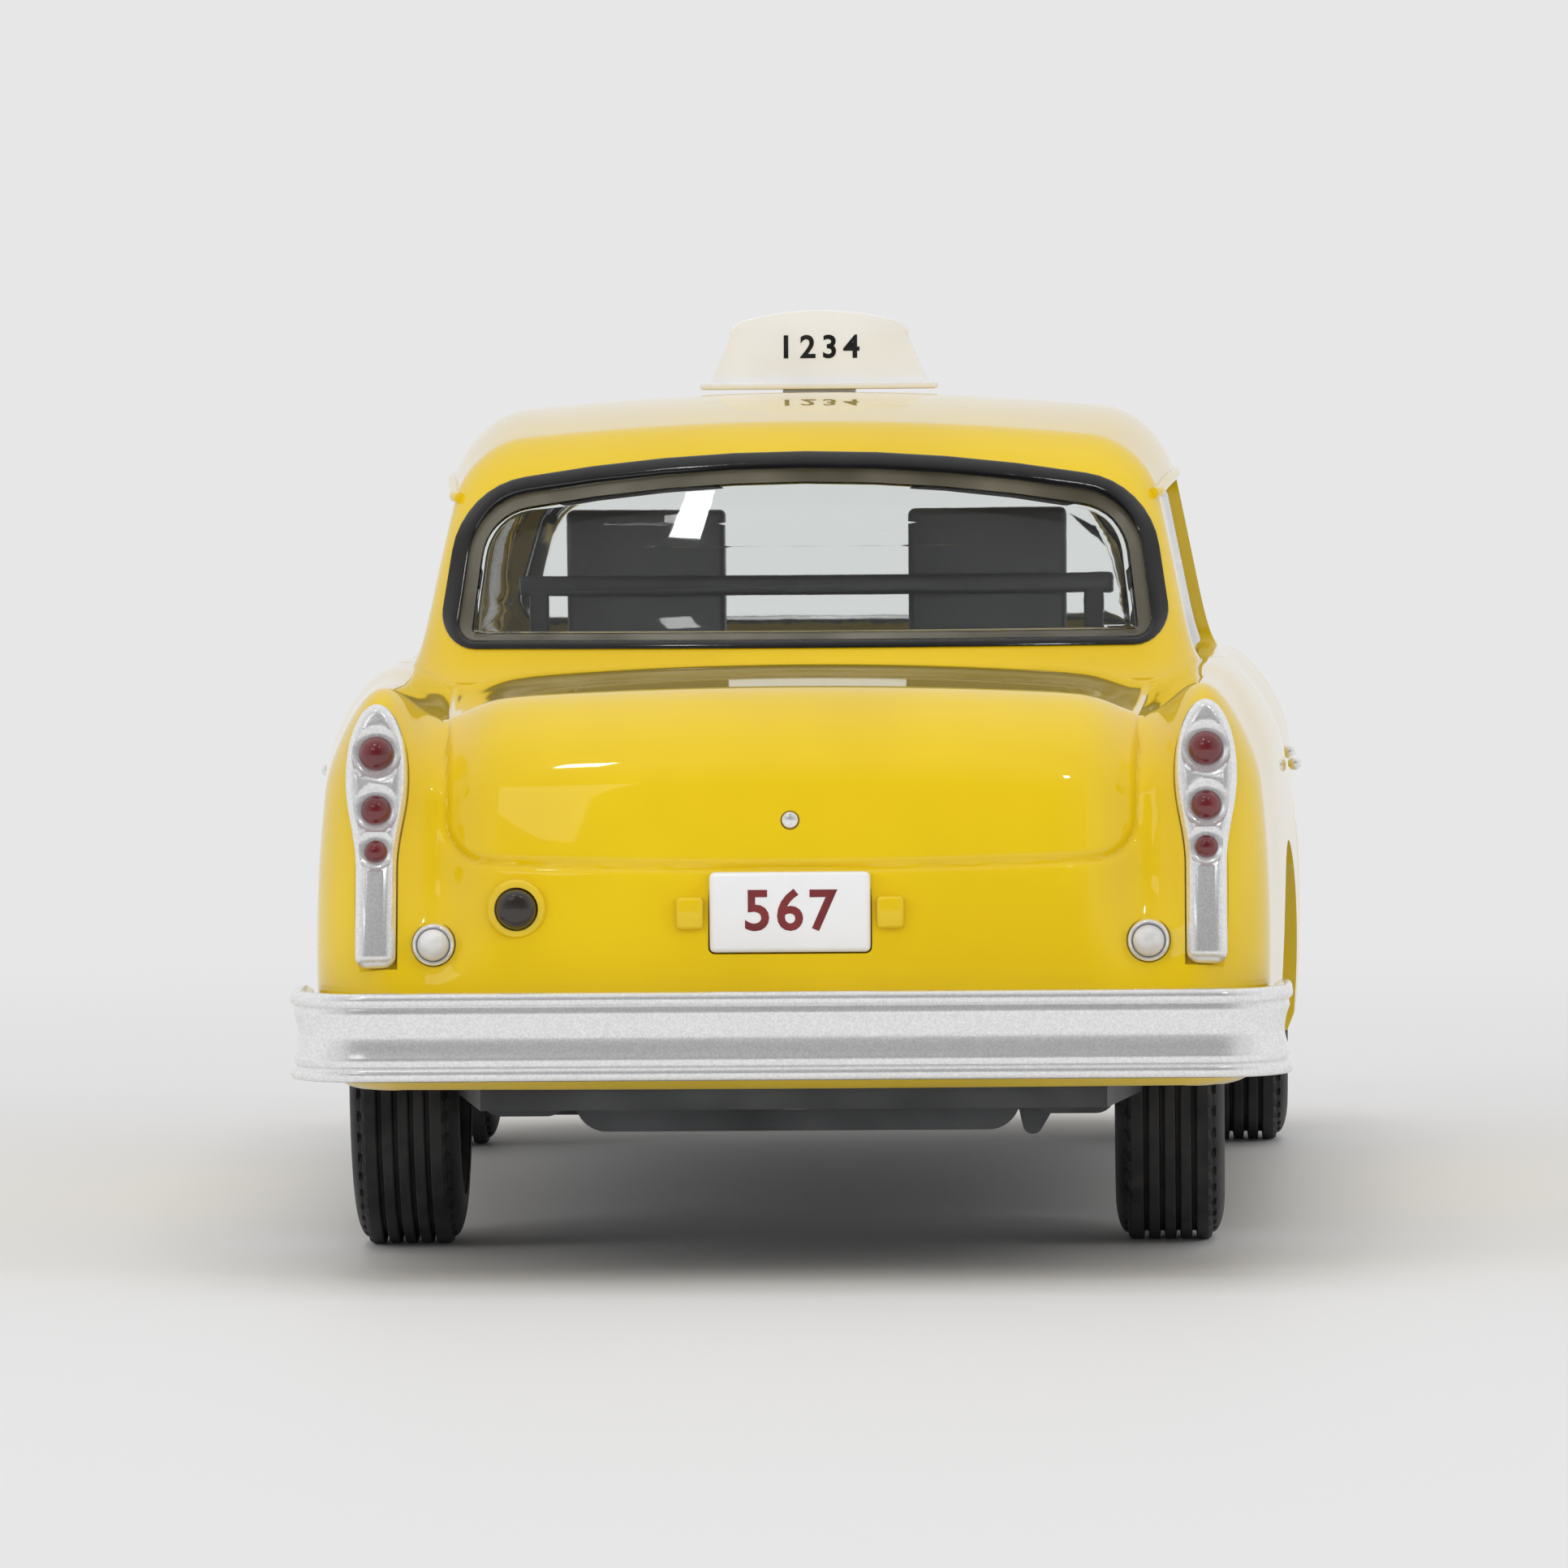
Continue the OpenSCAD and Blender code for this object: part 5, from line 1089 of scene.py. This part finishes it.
for axle, y, track, shift in (("front", front_axle_y, front_track, 0.0),
                              ("rear", rear_axle_y, rear_track, rear_shift)):
    dress(f"{axle}_axle", steel_finish)
    for side, word in ((1, "left"), (-1, "right")):
        place = Matrix.Translation((side * track / 2 + shift, y, tyre_r))
        place = place @ Matrix.Rotation(math.radians(side * 90), 4, "Y")
        for made, part, slot, finish in (
                (tyre_mesh(f"{axle}_tyre_{word}"), "tyre", "tyre_rubber", tyre_rubber),
                (wheel_mesh(f"{axle}_wheel_{word}"), "wheel", "wheel_silver", plate_finish)):
            made.data.transform(place)
            put_on(made, [f"{part}_{axle}_{word}"], finish, 28, f"{axle}_wheels")

# ---- Base plate and its screws ----
# A die-cast base, left dark and satin, with the axle beam, tank, silencer and frame rails cast on it,
# held by two bright self-tapping screws.


def dark_casting():
    return uneven_finish("dark satin casting", (1500, 260, 0.6),
                         (0.035, 0.037, 0.040), (0.075, 0.078, 0.082),
                         {"Roughness": 0.42, "Metallic": 0.25})


dress("chassis_base", dark_casting())
dress("base_screws", steel_finish)
dress("bonnet_hinge_pin", steel_finish)

# ---- Engine bay ----
# A black moulded tray and firewall, a blue-grey engine block with its black air cleaner, and a
# radiator block, all seen only under the open bonnet.


def black_moulding():
    return uneven_finish("black satin moulding", (2200, 350, 0.35),
                         (0.006, 0.0065, 0.008), (0.014, 0.015, 0.017),
                         {"Roughness": 0.42})


def engine_blue():
    return uneven_finish("blue-grey engine paint", (2600, 500, 0.4), (0.09, 0.18, 0.27), (0.14, 0.25, 0.36),
                         {"Roughness": 0.45})


moulding = black_moulding()
for name in ("engine_bay", "air_cleaner", "radiator"):
    dress(name, moulding)
dress("engine", engine_blue())

# ---- Interior ----
# One dark moulded tub with the seats, a fascia with its steering wheel, and a thin rail behind the
# front seat, seen as dark shapes through the clear windows.

for name in ("interior_tub", "rear_seat", "dashboard", "steering_wheel"):
    dress(name, moulding)
seat_y, tub_floor_top, seat_half_w = rear_axle_y - 17, 8.95, 11.1
headrest_x, headrest_w, headrest_z = 5.3, 4.9, 21.6
seat_foot_z = tub_floor_top + 0.02
seat = softened_block("front_seat_moulding", (-seat_half_w, seat_y - 6.6, seat_foot_z),
                      (seat_half_w, seat_y - 1.0, tub_floor_top + 3.4), 0.4)
combine(seat, softened_block("back", (-seat_half_w, seat_y - 1.2, seat_foot_z),
                             (seat_half_w, seat_y + 1.0, tub_floor_top + 7.9), 0.35), "UNION")
for side in (-1, 1):
    x = side * headrest_x
    combine(seat, softened_block("rest", (x - headrest_w / 2, seat_y - 0.9, tub_floor_top + 7),
                                 (x + headrest_w / 2, seat_y + 0.8, headrest_z), 0.18), "UNION")
put_on(seat, ["front_seat"], moulding, 35)
rail_y, rail_t = seat_y + 1.05, 0.5
rail = softened_block("partition_bar", (-9.2, rail_y, headrest_z - 2.6),
                      (9.2, rail_y + rail_t, headrest_z - 2.0), 0.12, 2)
for side in (-1, 1):
    x = side * 8.6
    combine(rail, softened_block("stay", (x - 0.3, rail_y, seat_foot_z),
                                 (x + 0.3, rail_y + rail_t, headrest_z - 2.3), 0.1, 2), "UNION")
put_on(rail, ["partition_rail"], moulding, 35)

# ---- Front trim and door handles ----
# Paired headlamps in oval surrounds, an egg-crate grille with amber parking lamps, and slim handles,
# all in the same silver paint.


def amber_lens():
    return uneven_finish("amber lens", (4000, 900, 0.2), (0.70, 0.22, 0.02), (0.84, 0.32, 0.03),
                         {"Roughness": 0.2, "Coat Weight": 0.8})


for name in ("grille", "headlamp_bezel_left", "headlamp_bezel_right", "door_handles"):
    dress(name, silver)
dress("headlamp_lenses", clear)
dress("parking_lamps", amber_lens())

# ---- Studio ----
# A pale seamless floor under even soft light, seen through a long lens from just above the tail and a
# little to its right.

floor_tone = (0.80, 0.80, 0.805)
pick_none()
bpy.ops.mesh.primitive_circle_add(vertices=96, radius=3, fill_type="NGON")
floor = bpy.context.active_object
floor.name = "floor"
made, tree, shader = finish_of("pale floor", {"Base Color": (0.86, 0.86, 0.865, 1), "Roughness": 0.55})
new, link = tree.nodes.new, tree.links.new
glow, mix, out = new("ShaderNodeEmission"), new("ShaderNodeMixShader"), tree.nodes["Material Output"]
glow.inputs["Color"].default_value = (*floor_tone, 1)
where, reach, fade = new("ShaderNodeTexCoord"), new("ShaderNodeVectorMath"), new("ShaderNodeMapRange")
reach.operation = "LENGTH"
# the floor takes the car's shadow near it, and glows as plain background further out
fade.inputs["From Min"].default_value, fade.inputs["From Max"].default_value = 0.055, 0.16
fade.interpolation_type = "SMOOTHSTEP"
link(where.outputs["Object"], reach.inputs[0])
link(reach.outputs["Value"], fade.inputs["Value"])
link(fade.outputs["Result"], mix.inputs["Fac"])
link(shader.outputs["BSDF"], mix.inputs[1])
link(glow.outputs["Emission"], mix.inputs[2])
link(mix.outputs["Shader"], out.inputs["Surface"])
floor.data.materials.append(made)


def soft_lamp(name, at, aim, size, power):
    light = bpy.data.lights.new(name, "AREA")
    light.shape, light.size, light.size_y, light.energy = "RECTANGLE", size[0], size[1], power
    lamp = bpy.data.objects.new(name, light)
    lamp.location = at
    lamp.rotation_euler = (Vector(aim) - Vector(at)).to_track_quat("-Z", "Y").to_euler()
    bpy.context.scene.collection.objects.link(lamp)
    return lamp


# broad lamps that only shade, then three small ones that gloss shows as short bright dashes
for lamp in (soft_lamp("lamp_over", (0.0, -0.05, 0.48), (0, 0, 0.01), (0.40, 0.34), 0.55),
             soft_lamp("lamp_left", (0.40, 0.36, 0.24), (0, 0.02, 0.01), (0.20, 0.16), 0.34),
             soft_lamp("lamp_right", (-0.40, 0.34, 0.30), (0, 0.02, 0.01), (0.14, 0.16), 0.28),
             soft_lamp("lamp_low", (-0.05, 0.60, 0.06), (0, 0.03, 0.0), (0.50, 0.08), 0.62)):
    lamp.visible_glossy = False
soft_lamp("glow_left", (0.19, 0.48, 0.36), (0, 0.03, 0.01), (0.20, 0.12), 0.08)
soft_lamp("dash_left", (0.10, 0.30, 0.52), (0, 0.02, 0.01), (0.022, 0.03), 0.07)
soft_lamp("dash_right", (-0.16, 0.36, 0.42), (0, 0.02, 0.01), (0.02, 0.02), 0.05)

# even light for the shading; for gloss, pale behind the car and a dimmer room behind the camera
world = bpy.data.worlds.new("studio")
bpy.context.scene.world = world
world.use_nodes = True
nodes, links = world.node_tree.nodes, world.node_tree.links
fill, seen = nodes["Background"], nodes.new("ShaderNodeBackground")
fill.inputs["Color"].default_value, fill.inputs["Strength"].default_value = (1, 1, 1, 1), 0.57
seen.inputs["Strength"].default_value = 1.0
towards, behind = nodes.new("ShaderNodeTexCoord"), nodes.new("ShaderNodeVectorMath")
behind.operation, behind.inputs[1].default_value = "DOT_PRODUCT", (0, 0.94, 0.34)
dim = nodes.new("ShaderNodeValToRGB")
stops = dim.color_ramp.elements
stops[0].position, stops[0].color = 0.15, (*floor_tone, 1)
stops[1].position, stops[1].color = 0.96, (0.09, 0.09, 0.095, 1)
stops.new(0.74).color = (0.50, 0.50, 0.505, 1)
path, pick_out = nodes.new("ShaderNodeLightPath"), nodes.new("ShaderNodeMixShader")
tone = nodes.new("ShaderNodeMix")
tone.data_type = "RGBA"
tone_a, tone_b = [socket for socket in tone.inputs if socket.type == "RGBA"]
tone_a.default_value = (*floor_tone, 1)
links.new(towards.outputs["Generated"], behind.inputs[0])
links.new(behind.outputs["Value"], dim.inputs["Fac"])
links.new(path.outputs["Is Glossy Ray"], tone.inputs["Factor"])
links.new(dim.outputs["Color"], tone_b)
links.new([socket for socket in tone.outputs if socket.type == "RGBA"][0], seen.inputs["Color"])
# what the camera sees, straight, in gloss or through glass, is the background; the rest is the fill
either, any_of = nodes.new("ShaderNodeMath"), nodes.new("ShaderNodeMath")
either.operation = any_of.operation = "MAXIMUM"
links.new(path.outputs["Is Camera Ray"], either.inputs[0])
links.new(path.outputs["Is Glossy Ray"], either.inputs[1])
links.new(either.outputs[0], any_of.inputs[0])
links.new(path.outputs["Is Transmission Ray"], any_of.inputs[1])
links.new(any_of.outputs[0], pick_out.inputs["Fac"])
links.new(fill.outputs["Background"], pick_out.inputs[1])
links.new(seen.outputs["Background"], pick_out.inputs[2])
links.new(pick_out.outputs["Shader"], nodes["World Output"].inputs["Surface"])

# the camera: a long lens, with the vanishing point of the car's length above and right of the middle
photo_px, focal_px = 1932, 18315
vanish_x, vanish_y, roll = 1470, 240, math.radians(0.45)
camera_at = Vector((-0.0119, (rear_axle_y + 450) * MM, 0.0316))
x0, y0 = vanish_x - photo_px / 2, photo_px / 2 - vanish_y
level_x = x0 * math.cos(roll) + y0 * math.sin(roll)
level_y = y0 * math.cos(roll) - x0 * math.sin(roll)
yaw = math.atan2(level_x, focal_px)
pitch = math.atan2(level_y, math.hypot(focal_px, level_x))
ahead = Vector((math.sin(yaw) * math.cos(pitch), -math.cos(yaw) * math.cos(pitch), -math.sin(pitch)))
right = ahead.cross(Vector((0, 0, 1))).normalized()
above = right.cross(ahead)
right, above = (right * math.cos(roll) - above * math.sin(roll),
                right * math.sin(roll) + above * math.cos(roll))
camera = bpy.data.objects.new("camera", bpy.data.cameras.new("camera"))
camera.data.sensor_width = 36
camera.data.lens = 36 * focal_px / photo_px
camera.data.clip_start, camera.data.clip_end = 0.01, 20
camera.matrix_world = Matrix.Translation(camera_at) @ Matrix((right, above, -ahead)).transposed().to_4x4()
bpy.context.scene.collection.objects.link(camera)
bpy.context.scene.camera = camera
bpy.context.scene.view_settings.view_transform = "Standard"
